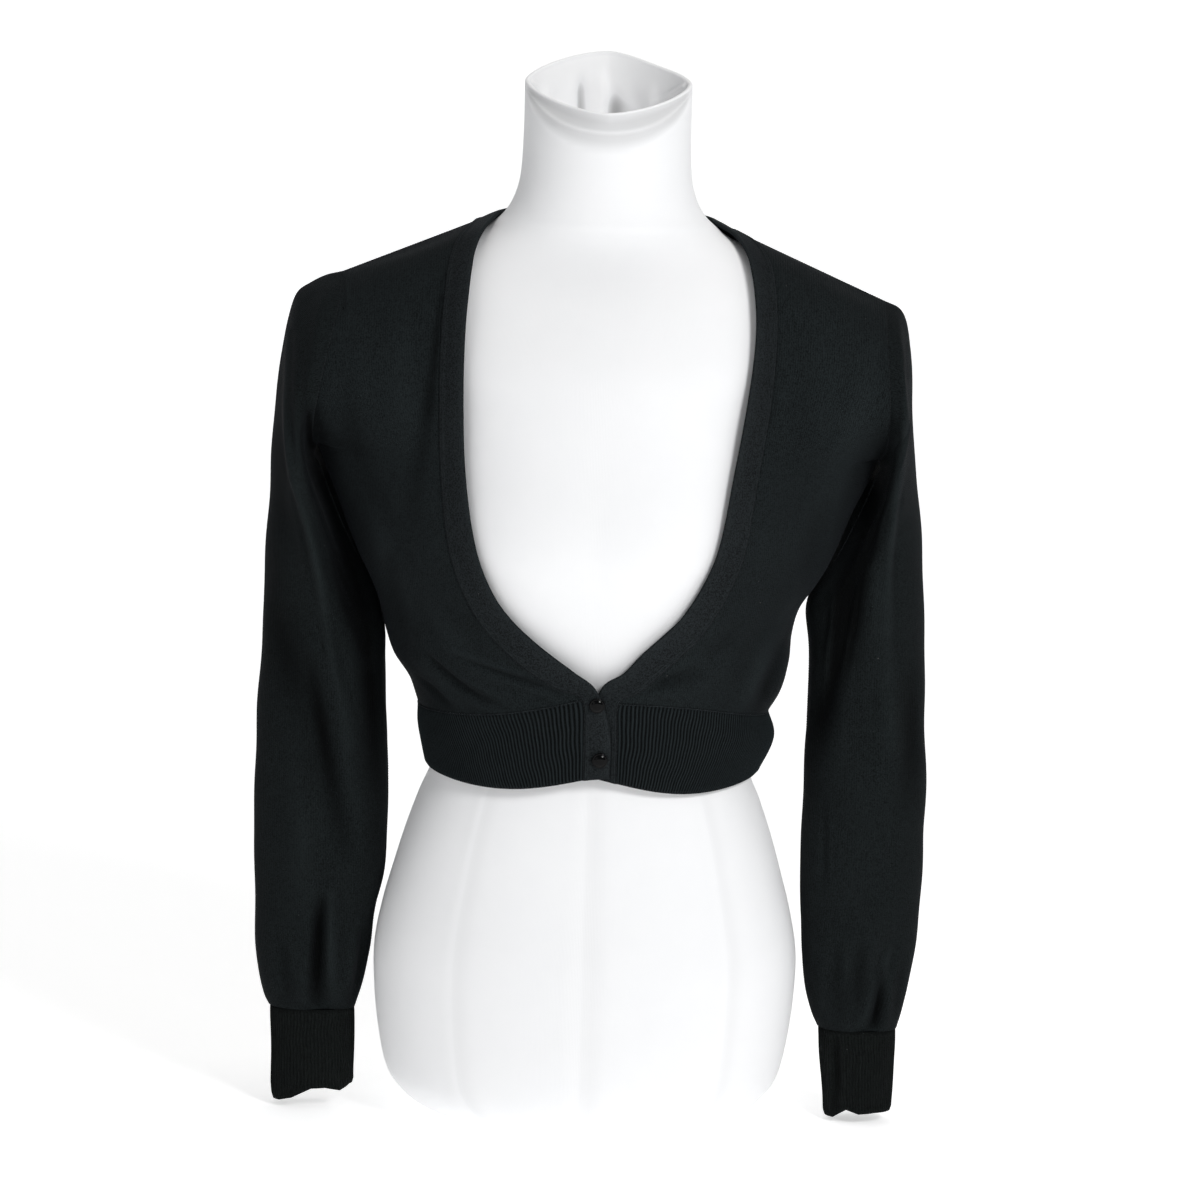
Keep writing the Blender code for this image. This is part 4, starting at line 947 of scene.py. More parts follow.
# Broad darker strips, where a piece lies in its own shadow: the same, with a tone for a height
SHADES = {
    ("sleeve_right", -1): (
        (-241, 578, -244, 466, -239, 332, -0.42, 13), (-210, 509, -205, 485, -195, 449, -0.9, 5),
        (-193, 445, -177, 386, -161, 312, -0.55, 11), (-160, 304, -156, 244, -158, 185, -0.35, 8),
        (-198, 154, -199, 116, -196, 80, -0.3, 8), (-221, 377, -203, 318, -192, 258, -0.3, 10),
        (-211, 530, -208, 506, -201, 480, -0.8, 4), (-237, 420, -230, 360, -226, 300, -0.22, 14),
        (-214, 340, -205, 290, -200, 240, -0.25, 9),
    ),
    ("sleeve_left", -1): (
        (208, 516, 203, 479, 194, 434, -0.8, 7), (196, 441, 185, 389, 178, 314, -0.65, 13),
        (166, 358, 163, 298, 165, 239, -0.35, 8), (237, 353, 239, 300, 236, 241, -0.2, 9),
        (219, 120, 218, 90, 214, 69, -0.3, 7),
    ),
    ("front_right", -1): (
        (-186, 468, -165, 401, -150, 349, -0.25, 10), (-140, 350, -125, 326, -105, 306, -0.35, 10),
        (-206, 534, -203, 512, -195, 484, -0.75, 5), (-196, 507, -184, 503, -168, 498, -0.25, 6),
        (-114, 632, -118, 590, -125, 530, -0.4, 4.5), (-122, 548, -128, 505, -135, 450, -0.22, 7),
    ),
    ("front_left", -1): (
        (194, 486, 181, 418, 157, 365, -0.2, 10), (131, 342, 126, 320, 119, 303, -0.3, 8),
        (-27, 315, 6, 309, 43, 310, -0.15, 8), (209, 526, 204, 502, 192, 466, -0.5, 8),
        (121, 610, 123, 560, 124, 500, -0.15, 6),
    ),
}
DRIFTS = (              # slow waves of the jersey: wavelength, direction in degrees, height
    (74.0, 24.0, 0.32),
    (53.0, 118.0, 0.26),
    (97.0, 71.0, 0.30),
)
DRIFT_CLEAR = 14.0      # the waves fade out this near a piece's edge
CREASE_CLEAR = 6.0      # and the creases this near
CREASE_START = 0.08     # share of the taper left off at each end of a crease
CREASE_WIDENS = (0.75, 1.25)    # share of its half width at its two ends
BANK_DEPTH = 0.3        # cloth sinks beside a crease by this share of its height
FACING = 1.5            # how soon a crease fades where the cloth turns to the side
SHADE_REACH = 0.6       # and how much later a shade does
PAINTED_LIGHT_LIMITS = (-0.9, 0.4)     # darkest painted shade and lightest painted highlight
TURNED_SHADE = 0.8      # painted shade: share of its colour that a knit loses where it turns away from the view
FOLD_PAINTED_SHADE_PER_MM = 0.2         # painted shade for each millimetre of a fold's depth
RIDGE_PAINTED_HIGHLIGHT_PER_MM = 0.11       # and painted highlight for each of a ridge's height

# Neckband across its face, seam to free edge: share of the width, height over the face, painted
# light (painted shade in the seam's groove and hollows, painted highlight on ridges)
BAND_FACE = (
    (1.0, -1.0, -0.35), (0.975, -0.5, -0.25), (0.955, 0.2, -0.05), (0.93, 0.5, 0.12),
    (0.905, 0.45, 0.06), (0.885, 0.15, -0.12), (0.86, 0.3, 0.03), (0.835, 0.4, 0.06),
    (0.81, 0.3, 0.0), (0.785, 0.05, -0.06), (0.7, -0.1, -0.05), (0.58, 0.05, 0.0),
    (0.45, 0.15, 0.0), (0.3, 0.15, 0.05), (0.2, 0.05, 0.05), (0.13, -0.05, 0.1),
)
BAND_TURN = 1.5         # radius of the fold at the free edge
BAND_TURN_STEPS = 8
# painted highlight on top of the free edge's fold, painted shade under it
BAND_TURN_PAINTED_LIGHT = 0.14
BAND_BACK = (0.3, 0.6, 0.95)    # the inside's points across the band

# Open top of the form's neck: the cover's folds by angle in degrees (0 the wearer's left, 90 the
# back), how far they stand in, half width in degrees, depth at which they start, and painted light:
# painted shade in a trough, painted highlight on a ridge
PLEATS = named("angle depth width start tone", (
    (-172, 3.0, 6, 0, 0.0), (-160, -1.5, 5, 4, -0.1), (-135, 1.2, 10, 6, 0.0),
    (-100, 1.6, 9, 8, 0.0), (-70, 1.4, 8, 8, 0.0), (-42, 1.8, 9, 6, 0.0),
    (-20, -1.6, 6, 2, -0.1), (-9, 3.0, 7, 0, 0.0), (8, -2.0, 5, 4, -0.12),
    (34, -1.6, 12, 10, -0.1), (50, 1.6, 6, 8, 0.1), (66, -1.6, 9, 12, -0.12),
    (82, -4.0, 9, 20, -0.7), (101, 4.0, 8, 6, 0.2), (117, -3.5, 3.6, 7, -0.75),
    (126, 1.6, 5, 6, 0.1), (138, -1.2, 7, 12, -0.04), (148, 1.6, 5, 2, 0.1),
    (164, -1.6, 5, 2, -0.12),
))
PLEAT_FADE = 20.0       # they deepen and widen over this much
# Folds that pull across the inside towards the two corners: angle and depth of both ends
PULLS = named("angle0 depth0 angle1 depth1 width height", (
    (52, 30, 12, 3, 2.2, 2.6),
    (150, 14, 172, 2, 1.4, 1.4),
))
RECESS_ROWS = 44
RECESS_CLEAR = 1.5      # the tucked end stays this far over the construction's floor
RECESS_LIGHT = 0.6      # painted highlight inside the rim, which is lost over this depth, so the deeper inside is painted in shade
RECESS_DEEP = 60.0
RECESS_SHADE = 0.3      # painted shade on the wearer's left
RECESS_NARROWS = (0.08, 0.5)    # the inside narrows evenly, and round its floor
ROLL_WIDE = 3.6         # the cover rolls over the rim this far at the front and back
ROLL_NARROW = 3.0       # and this far at the sides
ROLL_HEIGHT = 1.3
ROLL_STEPS = 6
ROLL_DROP = 0.6         # its inside ends this far below the rim
# painted highlight on the roll over the rim
ROLL_PAINTED_HIGHLIGHT = 0.1
RIM_DIP = 2.6           # rim sinks a little at the back, on the wearer's left
RIM_DIP_ANGLE = 48.0
RIM_DIP_WIDTH = 24.0
RIM_POINTED = 0.45      # the opening is drawn to a point at both sides
COVER_LOW = 735.0       # the neck has a row every millimetre from here up
EDGE_REACH = 20.0       # the turned edge ends within this much below that row
# Turned edge of the cover outside the rim, by distance below it as a share of the edge's depth,
# with its painted shade: over the band, less on its ridge, more in the strip below
EDGE_DEEP = 13.0        # at the front and back
EDGE_NARROW = 2.0       # at the sides
EDGE_FADE = 3.0         # the edge shows once it is this much deeper than that
EDGE_SHAPE = named("share rise tone", (
    (0.0, 0.0, -0.06), (0.1, -0.2, -0.22), (0.5, -0.4, -0.3), (0.82, -0.25, -0.27),
    (0.93, 0.05, -0.17), (1.0, 0.2, -0.13), (1.08, 0.1, -0.2), (1.2, -0.2, -0.26),
    (1.5, -0.35, -0.22), (1.8, -0.2, -0.11), (2.1, 0.0, 0.0),
))

# Panel seams down the hips: angle in degrees, 0 the wearer's left and 90 the back
PANEL_SEAMS = (-127.5, -92.5, -52.0, 52.0, 90.0, 128.0)
PANEL_TOP = 300.0
PANEL_FADE = 60.0       # they fade in over this much below their top
PANEL_RISE = 0.45
PANEL_WIDTH = 1.6       # in degrees
PANEL_LIGHT = 0.1       # painted highlight on them, and painted shade beside them
PANEL_SHADE = 0.05
# The form's stitches, and its colours: dark and light of the cover, then its painted highlight on
# ridges and painted shade in folds
FORM_STITCH = (0.7, 0.6)
FORM_COLOURS = ((0.85, 0.856, 0.87), (0.93, 0.93, 0.935))
FORM_PAINTED_LIGHT_COLOURS = ((0.99, 0.99, 0.99), (0.05, 0.048, 0.046))

# Fashioning marks, small stitches beside the armhole: their rows and column on the fine grid
MARK_ROWS = (14, 22, 7)         # first after the armpit, last before the shoulder, and step
MARK_COLUMN = 5
MARK_SHARES = (-1.0, -0.6, 0.0, 0.6, 1.0)
MARK_SLOPE = (0.9, 0.35)        # run of a mark along the armhole and across it
MARK_HALF = 1.5
MARK_GIRTH = 0.55

# Buttons: section from the rim's underside to the crown, as radius and height
BUTTON_PROFILE = ((4.2, 0.0), (5.0, 0.25), (5.45, 0.7), (5.6, 1.2), (5.5, 1.65), (5.15, 1.95),
                  (4.85, 2.0), (4.55, 1.9), (4.25, 2.05), (3.7, 2.5), (2.9, 2.85), (1.9, 3.08),
                  (0.9, 3.18))
BUTTON_SIDES = 48
BUTTON_COLOURS = ((0.0004, 0.0005, 0.0006), (0.0008, 0.0009, 0.0011))
SHANK_HEIGHTS = (-0.4, 0.2, 0.8)        # over the band's face
SHANK_RADIUS = 1.3
SHANK_STITCH = 0.4
HOLE_POINTS = 28
HOLE_HALF = 7.4         # half length of a worked hole
HOLE_SHIFT = 0.8        # it lies this far towards the band's seam
HOLE_OPEN = 1.1         # half its height
HOLE_THREAD = 0.42
HOLE_STITCH = 0.8

# Knits: colour, bump, the stitches' painted shade in the colour, lint, sheen, and the size of one
# stitch
KNITS = (
    ("jersey_knit", (0.0082, 0.0106, 0.0113), 0.8, 0.5, 0.36, 0.02, WALE, COURSE),
    # the sleeve knit is the jersey knit made darker; the rib and cuff knits are darker still
    ("sleeve_knit", (0.0065, 0.0084, 0.0088), 0.8, 0.5, 0.36, 0.02, WALE, COURSE),
    ("rib_knit", (0.0048, 0.0063, 0.0068), 0.6, 0.2, 0.3, 0.02, WALE, COURSE),
    ("cuff_knit", (0.0047, 0.0058, 0.0056), 0.8, 0.3, 0.34, 0.01, WALE, COURSE),
    ("band_knit", (0.0106, 0.0128, 0.0138), 0.4, 0.35, 0.34, 0.03, 1.3, 1.1),
    ("thread", (0.0120, 0.0140, 0.0150), 0.3, 0.2, 0.0, 0.03, WALE, COURSE),
    ("seam_thread", (0.016, 0.019, 0.0205), 0.3, 0.2, 0.0, 0.03, WALE, COURSE),
)
# Noise in a knit: scale and detail
FIBRE = (900.0, 2.0)
PATCH = (14.0, 4.0)
STREAK = (160.0, 3.0)
GRAIN = (980.0, 1.0)
PATCH_SHARE = 0.5       # their parts in the dye
STREAK_SHARE = 0.35
GRAIN_SHARE = 3.2
# Shares of the knit's colour: darkest and lightest of its uneven dye and painted stitch shade,
# painted shade where it turns away, painted highlight on ridges and painted shade in folds
DYE_AND_STITCH_SHADE_DARK = 0.4
DYE_AND_STITCH_SHADE_LIGHT = 1.6
PAINTED_TURNED_SHADE = 0.25
PAINTED_RIDGE_HIGHLIGHT = 3.2
PAINTED_FOLD_SHADE = 0.08
KNIT_DEPTH = 0.0005     # of the bump, in metres
SHEEN_TINT = (0.75, 0.85, 1.0)
SPECK_SCALE = 95.0
SPECK_SIZE = 0.045
SPECK_PATCH = (60.0, 1.0)
LINT = (0.12, 0.12, 0.115)

# Stage, in metres
FLOOR_SIZE = 9.0
SWEEP_START = 2.9
SWEEP_RADIUS = 1.2
SWEEP_TOP = 4.0
SWEEP_STEPS = 16
PAPER_COLOURS = ((0.93, 0.93, 0.93), (0.95, 0.95, 0.95))
PAPER_GLOW = 0.5
SKY_COLOUR = (0.97, 0.985, 1.0, 1.0)
SKY_STRENGTH = 0.28
LIGHTS = (              # name, place, aim, size, power, colour
    ("key", (1.5, -2.3, 1.9), (0.0, 0.0, 0.4), 0.9, 46.0, (1.0, 1.0, 1.0)),
    ("fill", (-1.8, -2.6, 0.9), (0.0, 0.0, 0.35), 1.4, 5.0, (1.0, 1.0, 1.0)),
    ("top", (0.1, 0.2, 2.6), (0.0, 0.0, 0.5), 1.0, 10.0, (1.0, 0.96, 0.92)),
)

UP = np.array([0.0, 0.0, 1.0])
FLAT = np.array([1.0, 1.0, 0.0])

# Camera
CAMERA_PLACE = (0.0033, -3.165, 0.8045)
CAMERA_AIM = (0.004, 0.0, 0.3874)
CAMERA_LENS = 129.6
CAMERA_ROLL = 1.6


# ---------------------------------------------------------------- finish: arrays and walls

def spline(rows, factor, closed=False):
    """More rows of an array, on a smooth curve through the given ones."""
    rows = np.asarray(rows, float)
    after = np.roll(rows, -1, axis=0)
    slope = (after - np.roll(rows, 1, axis=0)) / 2
    spans = len(rows)
    if not closed:
        slope[0] = rows[1] - rows[0]
        slope[-1] = rows[-1] - rows[-2]
        spans -= 1
    leave, arrive = slope[:spans, None], np.roll(slope, -1, axis=0)[:spans, None]
    start, end = rows[:spans, None], after[:spans, None]
    t = (np.arange(factor) / factor).reshape((1, factor) + (1,) * (rows.ndim - 1))
    result = (start * (2 * t ** 3 - 3 * t ** 2 + 1) + leave * (t ** 3 - 2 * t ** 2 + t)
              + end * (3 * t ** 2 - 2 * t ** 3) + arrive * (t ** 3 - t ** 2))
    result = result.reshape((spans * factor,) + rows.shape[1:])
    if closed:
        return result
    return np.concatenate([result, rows[-1:]])


def fine_grid(grid, row_factor, column_factor, closed=False):
    """A finer grid; a closed one ends on a copy of its first column."""
    points = spline(grid, row_factor)
    points = np.swapaxes(spline(np.swapaxes(points, 0, 1), column_factor, closed), 0, 1)
    if closed:
        points = np.concatenate([points, points[:, :1]], axis=1)
    return points


def unit(vectors):
    return vectors / np.maximum(np.linalg.norm(vectors, axis=-1, keepdims=True), 1e-9)


def ease(values):
    values = np.clip(values, 0.0, 1.0)
    return values * values * (3 - 2 * values)


def lengths(points, axis):
    """Distance along an axis of a grid from its first row or column."""
    steps = np.linalg.norm(np.diff(points, axis=axis), axis=-1)
    zero = np.zeros_like(np.take(steps, [0], axis=axis))
    return np.concatenate([zero, np.cumsum(steps, axis=axis)], axis=axis)


def edge_distance(points, marked):
    """Distance of each point of a grid from the nearest marked one."""
    flat = points.reshape(-1, 3)
    edge = points[marked]
    nearest = np.full(len(flat), 1e9)
    for start in range(0, len(edge), 64):
        away = flat[:, None] - edge[None, start:start + 64]
        nearest = np.minimum(nearest, np.sqrt((away ** 2).sum(-1)).min(1))
    return nearest.reshape(points.shape[:2])


def pull_edge(points, column, target, reach):
    """Lay an edge column on a line, its neighbours following by less and less."""
    shift = target - points[:, column]
    for k in range(reach):
        weight = smooth_step(1 - k / reach)
        points[:, k if column == 0 else column - k] += shift * weight


def add_margins(cloth, axis):
    """Extra rows or columns just in from both edges."""
    cloth = np.moveaxis(cloth, axis, 0)
    gap_low = np.linalg.norm(cloth[1, :, :3] - cloth[0, :, :3], axis=-1)[:, None]
    gap_high = np.linalg.norm(cloth[-1, :, :3] - cloth[-2, :, :3], axis=-1)[:, None]
    low, high = [], []
    for index, margin in enumerate(MARGINS):
        most = 0.3 * (index + 1)
        low.append(cloth[0] + (cloth[1] - cloth[0]) * np.minimum(margin / gap_low, most))
        high.append(cloth[-1] + (cloth[-2] - cloth[-1]) * np.minimum(margin / gap_high, most))
    result = np.concatenate([cloth[:1], np.array(low), cloth[1:-1], np.array(high[::-1]),
                             cloth[-1:]])
    return np.moveaxis(result, 0, axis)


def quads(rows, columns):
    j, k = np.meshgrid(np.arange(rows - 1), np.arange(columns - 1), indexing="ij")
    corner = j * columns + k
    return np.stack([corner, corner + 1, corner + columns + 1, corner + columns], -1).reshape(-1, 4)


def tube_faces(rings, sides, closed=False):
    """Faces along rings of points, and one over each end unless the tube closes on itself."""
    ids = np.arange(rings * sides).reshape(rings, sides)
    if closed:
        ids = np.concatenate([ids, ids[:1]])
    turned = np.roll(ids, -1, 1)
    faces = np.stack([ids[:-1], turned[:-1], turned[1:], ids[1:]], -1).reshape(-1, 4).tolist()
    return faces if closed else faces + [ids[0].tolist(), ids[-1].tolist()]


def at_corners(faces, values):
    """Values of the points at every corner of the faces."""
    return values[[point for face in faces for point in face]]


def mesh_object(name, points, faces, corners, material, tone=None):
    """A mesh in millimetres, as a piece of the model.

    Its map places the knit, and its painted light is a painted highlight over 0 on ridges and a
    painted shade under 0 in folds.
    """
    data = bpy.data.meshes.new(name)
    data.from_pydata((points * MM).tolist(), [], faces)
    layer = data.uv_layers.new(name="knit")
    layer.uv.foreach_set("vector", np.asarray(corners, np.float32).ravel())
    if tone is not None:
        values = data.attributes.new("tone", "FLOAT", "POINT").data
        values.foreach_set("value", np.asarray(tone, np.float32).ravel())
    data.shade_smooth()
    solid = bmesh.new()
    solid.from_mesh(data)
    bmesh.ops.recalc_face_normals(solid, faces=solid.faces)
    solid.to_mesh(data)
    solid.free()
    data.materials.append(material)
    item = bpy.data.objects.new(name, data)
    bpy.context.scene.collection.objects.link(item)
    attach(item, "root")
    return item


def wall_object(name, walls, material):
    """Walls between matching outer and inner arrays, in one mesh.

    A closed wall's last column is its first. A second wall is joined to the first along their
    last columns, up to the row from which those columns are free.
    """
    faces, points, flat, weld, painted_lights = [], [], [], [], []
    base = 0
    for outer, inner, knit, tone, closed, free_from in walls:
        rows, columns = outer.shape[:2]
        count = rows * columns
        skin = quads(rows, columns)
        found = [skin, skin[:, ::-1] + count]
        line = np.arange(columns)
        rims = [line, line + (rows - 1) * columns]
        if not closed:
            line = np.arange(rows) * columns
            rims += [line, line[free_from:] + columns - 1]
        for rim in rims:
            found.append(np.stack([rim[:-1], rim[1:], rim[1:] + count, rim[:-1] + count], -1))
        same = np.arange(2 * count) + base
        last = np.arange(1, 2 * rows + 1) * columns - 1
        if closed:
            same[last] = last - (columns - 1) + base
        elif base:
            joined = np.concatenate([last[:free_from + 1], last[rows:rows + free_from + 1]])
            same[joined] = joined
        faces.append(np.concatenate(found) + base)
        points += [outer.reshape(-1, 3), inner.reshape(-1, 3)]
        flat += [knit.reshape(-1, 2)] * 2
        painted_lights += [tone.ravel()] * 2
        weld.append(same)
        base += 2 * count
    faces, points = np.concatenate(faces).ravel(), np.concatenate(points)
    corners = np.concatenate(flat)[faces]
    used, index = np.unique(np.concatenate(weld)[faces], return_inverse=True)
    faces = index.reshape(-1, 4).tolist()
    return mesh_object(name, points[used], faces, corners, material,
                       np.concatenate(painted_lights)[used])


def chain_object(name, path, lift, radius, stitch, material, closed=False):
    """A line of stitches: a fine tube along a path whose girth swells once a stitch."""
    path = np.asarray(path, float)
    lift = np.asarray(lift, float)
    if closed:
        path, lift = np.concatenate([path, path[:1]]), np.concatenate([lift, lift[:1]])
    marks = lengths(path[:, None], 0)[:, 0]
    count = max(int(round(marks[-1] / stitch)), 2) * CHAIN_STEPS
    goals = np.linspace(0.0, marks[-1], count + 1)
    path = np.stack([np.interp(goals, marks, path[:, i]) for i in range(3)], -1)
    lift = unit(np.stack([np.interp(goals, marks, lift[:, i]) for i in range(3)], -1))
    along = unit(np.gradient(path, axis=0))
    if closed:
        along[0] = along[-1] = unit(along[0] + along[-1])
    across = unit(np.cross(along, lift))
    lift = np.cross(across, along)
    wave = np.cos(2 * math.pi / CHAIN_STEPS * np.arange(count + 1))
    swell = radius * (1 - CHAIN_SWELL + CHAIN_SWELL * wave)
    angles = 2 * math.pi * np.arange(CHAIN_SIDES)[None, :, None] / CHAIN_SIDES
    ring = np.cos(angles) * across[:, None] + np.sin(angles) * lift[:, None]
    points = path[:, None] + ring * swell[:, None, None]
    rings = count if closed else count + 1
    faces = tube_faces(rings, CHAIN_SIDES, closed)
    along = np.repeat(np.arange(len(faces)), [len(face) for face in faces]) * 0.1
    corners = np.stack([0.5 * WALE + 0 * along, along], -1)
    return mesh_object(name, points[:rings].reshape(-1, 3), faces, corners, material)


def seam_chain(name, line, kind, material, closed=False):
    """The chain of stitches along one seam, from its points and normals."""
    points, normals = line
    radius, over, above = SEAMS[kind]
    return chain_object(name + "_seam", points + normals * over + UP * above, normals, radius,
                        SEAM_STITCH, material, closed)


# ---------------------------------------------------------------- finish: creases

def beside_line(row, x, z):
    """Distance from a fold's curved line, and how far along it, at each point."""
    share = np.linspace(0.0, 1.0, CREASE_SPANS + 1)

    def curve(start, middle, end):
        bend = 2 * middle - (start + end) / 2
        return (1 - share) ** 2 * start + 2 * share * (1 - share) * bend + share ** 2 * end

    line_x, line_z = curve(*row[0:5:2]), curve(*row[1:6:2])
    nearest = np.full_like(x, 1e9)
    place = np.zeros_like(x)
    for i in range(CREASE_SPANS):
        run_x, run_z = line_x[i + 1] - line_x[i], line_z[i + 1] - line_z[i]
        along = (x - line_x[i]) * run_x + (z - line_z[i]) * run_z
        along = np.clip(along / (run_x ** 2 + run_z ** 2), 0.0, 1.0)
        away = np.hypot(x - line_x[i] - run_x * along, z - line_z[i] - run_z * along)
        closer = away < nearest
        nearest = np.where(closer, away, nearest)
        place = np.where(closer, (i + along) / CREASE_SPANS, place)
    return nearest, place


def crease(name, points, normals, clear):
    """Heights of the creases and slow waves at each point of a piece, and the painted light of the
    creases and shades: painted shade in folds and shades, painted highlight on ridges.
    """
    x, z = points[..., 0], points[..., 2]
    facing = normals[..., 1]
    rise = np.zeros_like(x)
    shade = np.zeros_like(x)
    for table, face in ((CREASES, -1), (CREASES, 1), (SHADES, -1), (SHADES, 1)):
        for row in table.get((name, face), ()):
            nearest, place = beside_line(row, x, z)
            taper = np.sin(math.pi * (CREASE_START + (1 - 2 * CREASE_START) * place)) ** 0.8
            first, last = CREASE_WIDENS
            height, width = row[6], row[7] * (first + (last - first) * place)
            shape = np.exp(-(nearest / width) ** 2)
            seen = face * facing * FACING
            if table is SHADES:
                shade += height * shape * taper * np.clip(seen + SHADE_REACH, 0.0, 1.0)
                continue
            shape -= BANK_DEPTH * np.exp(-((nearest - 2 * width) / (0.8 * width)) ** 2)
            rise += height * shape * taper * np.clip(seen, 0.0, 1.0) * ease(clear / CREASE_CLEAR)
    # painted shade in the folds and under the shades, painted highlight on the ridges
    tone = rise * np.where(rise < 0, FOLD_PAINTED_SHADE_PER_MM, RIDGE_PAINTED_HIGHLIGHT_PER_MM) + shade
    tone = np.clip(tone, *PAINTED_LIGHT_LIMITS)
    for length, angle, height in DRIFTS:
        turn = math.radians(angle)
        phase = (x * math.cos(turn) + z * math.sin(turn) + 0.6 * points[..., 1]) / length
        rise += height * np.sin(2 * math.pi * phase) * ease(clear / DRIFT_CLEAR)
    return rise, tone


def body_knit(points):
    """Where the wales and courses run on the body: straight up from the waistband."""
    x, y, z = points[..., 0], np.abs(points[..., 1]), points[..., 2]
    inward = np.maximum(KNIT_FRONT - y, 0.0)
    (end, reach), (start, rise) = KNIT_ACROSS_END, KNIT_UP_START
    across = np.sign(x) * (np.abs(x) + KNIT_ACROSS * inward * (1 - ease((z - end) / reach)))
    return np.stack([across, z + KNIT_UP * inward * ease((z - start) / rise)], -1)


def sleeve_knit(points):
    """Wales run down the sleeve and meet at the underarm seam, the first column."""
    around = lengths(points, 1)
    around = around - around[:, -1:] / 2
    down = lengths(points, 0).mean(axis=1, keepdims=True) + 0 * around
    return np.stack([around, -down], -1)


def cloth_wall(name, grids, closed, material):
    """A jersey piece: creased, with its edges turned softly down into the seams.

    The back's two halves are joined along the centre up to the neck.
    """
    walls = []
    free_from = NECK_CORNER + len(MARGINS) if name == "back" else 0
    for points, normals in grids:
        knit = sleeve_knit(points) if closed else body_knit(points)
        cloth = add_margins(np.concatenate([points, normals, knit], -1), 0)
        if not closed:
            cloth = add_margins(cloth, 1)
        marked = np.zeros(cloth.shape[:2], bool)
        marked[0] = marked[-1] = True
        if not closed:
            marked[:, 0] = marked[free_from:, -1] = True
        points, normals, knit = cloth[..., :3], unit(cloth[..., 3:6]), cloth[..., 6:]
        clear = edge_distance(points, marked)
        rise, tone = crease(name, points, normals, clear)
        turned = np.interp(clear, *zip(*EDGE_PROFILE))
        outer = points + normals * (rise + turned)[..., None]
        inner = points + normals * (rise - WALL)[..., None]
        walls.append((outer, inner, knit, tone, closed, free_from))
    return wall_object(name + "_knit", walls, material)


# ---------------------------------------------------------------- finish: materials

class Shader:
    """A Principled material, with short ways to make its nodes and join them."""

    def __init__(self, name):
        self.material = bpy.data.materials.new(name)
        self.material.use_nodes = True
        self.tree = self.material.node_tree
        self.place = self.node("TexCoord").outputs["Object"]

    def join(self, value, socket):
        """Set a socket to a number or a colour, or link another socket to it."""
        if isinstance(value, tuple):
            socket.default_value = (*value, 1.0)
        elif isinstance(value, (int, float)):
            socket.default_value = value
        else:
            self.tree.links.new(value, socket)

    def node(self, kind, **inputs):
        node = self.tree.nodes.new("ShaderNode" + kind)
        for name, value in inputs.items():
            self.join(value, node.inputs[name])
        return node

    def maths(self, operation, *values):
        node = self.node("Math")
        node.operation = operation
        for value, socket in zip(values, node.inputs):
            self.join(value, socket)
        return node.outputs[0]

    def total(self, *parts):
        """Sum of the parts, each a socket or a pair of a socket and its factor."""
        result = None
        for part in parts:
            if isinstance(part, tuple):
                part = self.maths("MULTIPLY", *part)
            result = part if result is None else self.maths("ADD", result, part)
        return result

    def noise(self, scale, detail):
        return self.node("TexNoise", Vector=self.place, Scale=scale, Detail=detail,
                         Roughness=0.6).outputs["Fac"]

    def mix(self, factor, first, second):
        node = self.node("Mix")
        node.data_type = "RGBA"
        for key, value in ((0, factor), (6, first), (7, second)):
            self.join(value, node.inputs[key])
        return node.outputs[2]

    def with_painted_light(self, colour, light, dark):
        """The colour with the points' painted light: painted highlight where it is over 0 and
        painted shade where it is under.
        """
        node = self.node("Attribute")
        # the points' painted light: painted highlight over 0, painted shade under 0
        node.attribute_name = "tone"
        tone = node.outputs["Fac"]
        return self.mix(self.maths("MULTIPLY", tone, -1.0), self.mix(tone, colour, light), dark)

    def stitches(self, wale, course):
        """Height of a plain knit: columns of V-shaped stitches with a groove between columns."""
        node = self.node("UVMap")
        node.uv_map = "knit"
        split = self.node("SeparateXYZ", Vector=node.outputs["UV"]).outputs
        side = self.maths("FRACT", self.maths("DIVIDE", split["X"], wale))
        side = self.maths("ABSOLUTE", self.maths("SUBTRACT", side, 0.5))
        side = self.maths("MULTIPLY", side, 2.0)
        column = self.maths("SUBTRACT", 1.0, self.maths("POWER", side, 2.5))
        up = self.maths("DIVIDE", split["Y"], course)
        slant = self.maths("FRACT", self.total(up, (side, 0.75)))
        loop = self.maths("ABSOLUTE", self.maths("SUBTRACT", slant, 0.5))
        return self.maths("MULTIPLY", column, self.maths("SUBTRACT", 1.0, loop))

    def surface(self, bump=None, **inputs):
        """Set the surface's inputs, and its bump: strength, distance and height."""
        surface = self.tree.nodes["Principled BSDF"]
        for name, value in inputs.items():
            self.join(value, surface.inputs[name.replace("_", " ")])
        if bump:
            strength, distance, height = bump
            ripple = self.node("Bump", Strength=strength, Distance=distance, Height=height)
            self.join(ripple.outputs["Normal"], surface.inputs["Normal"])
        return self.material


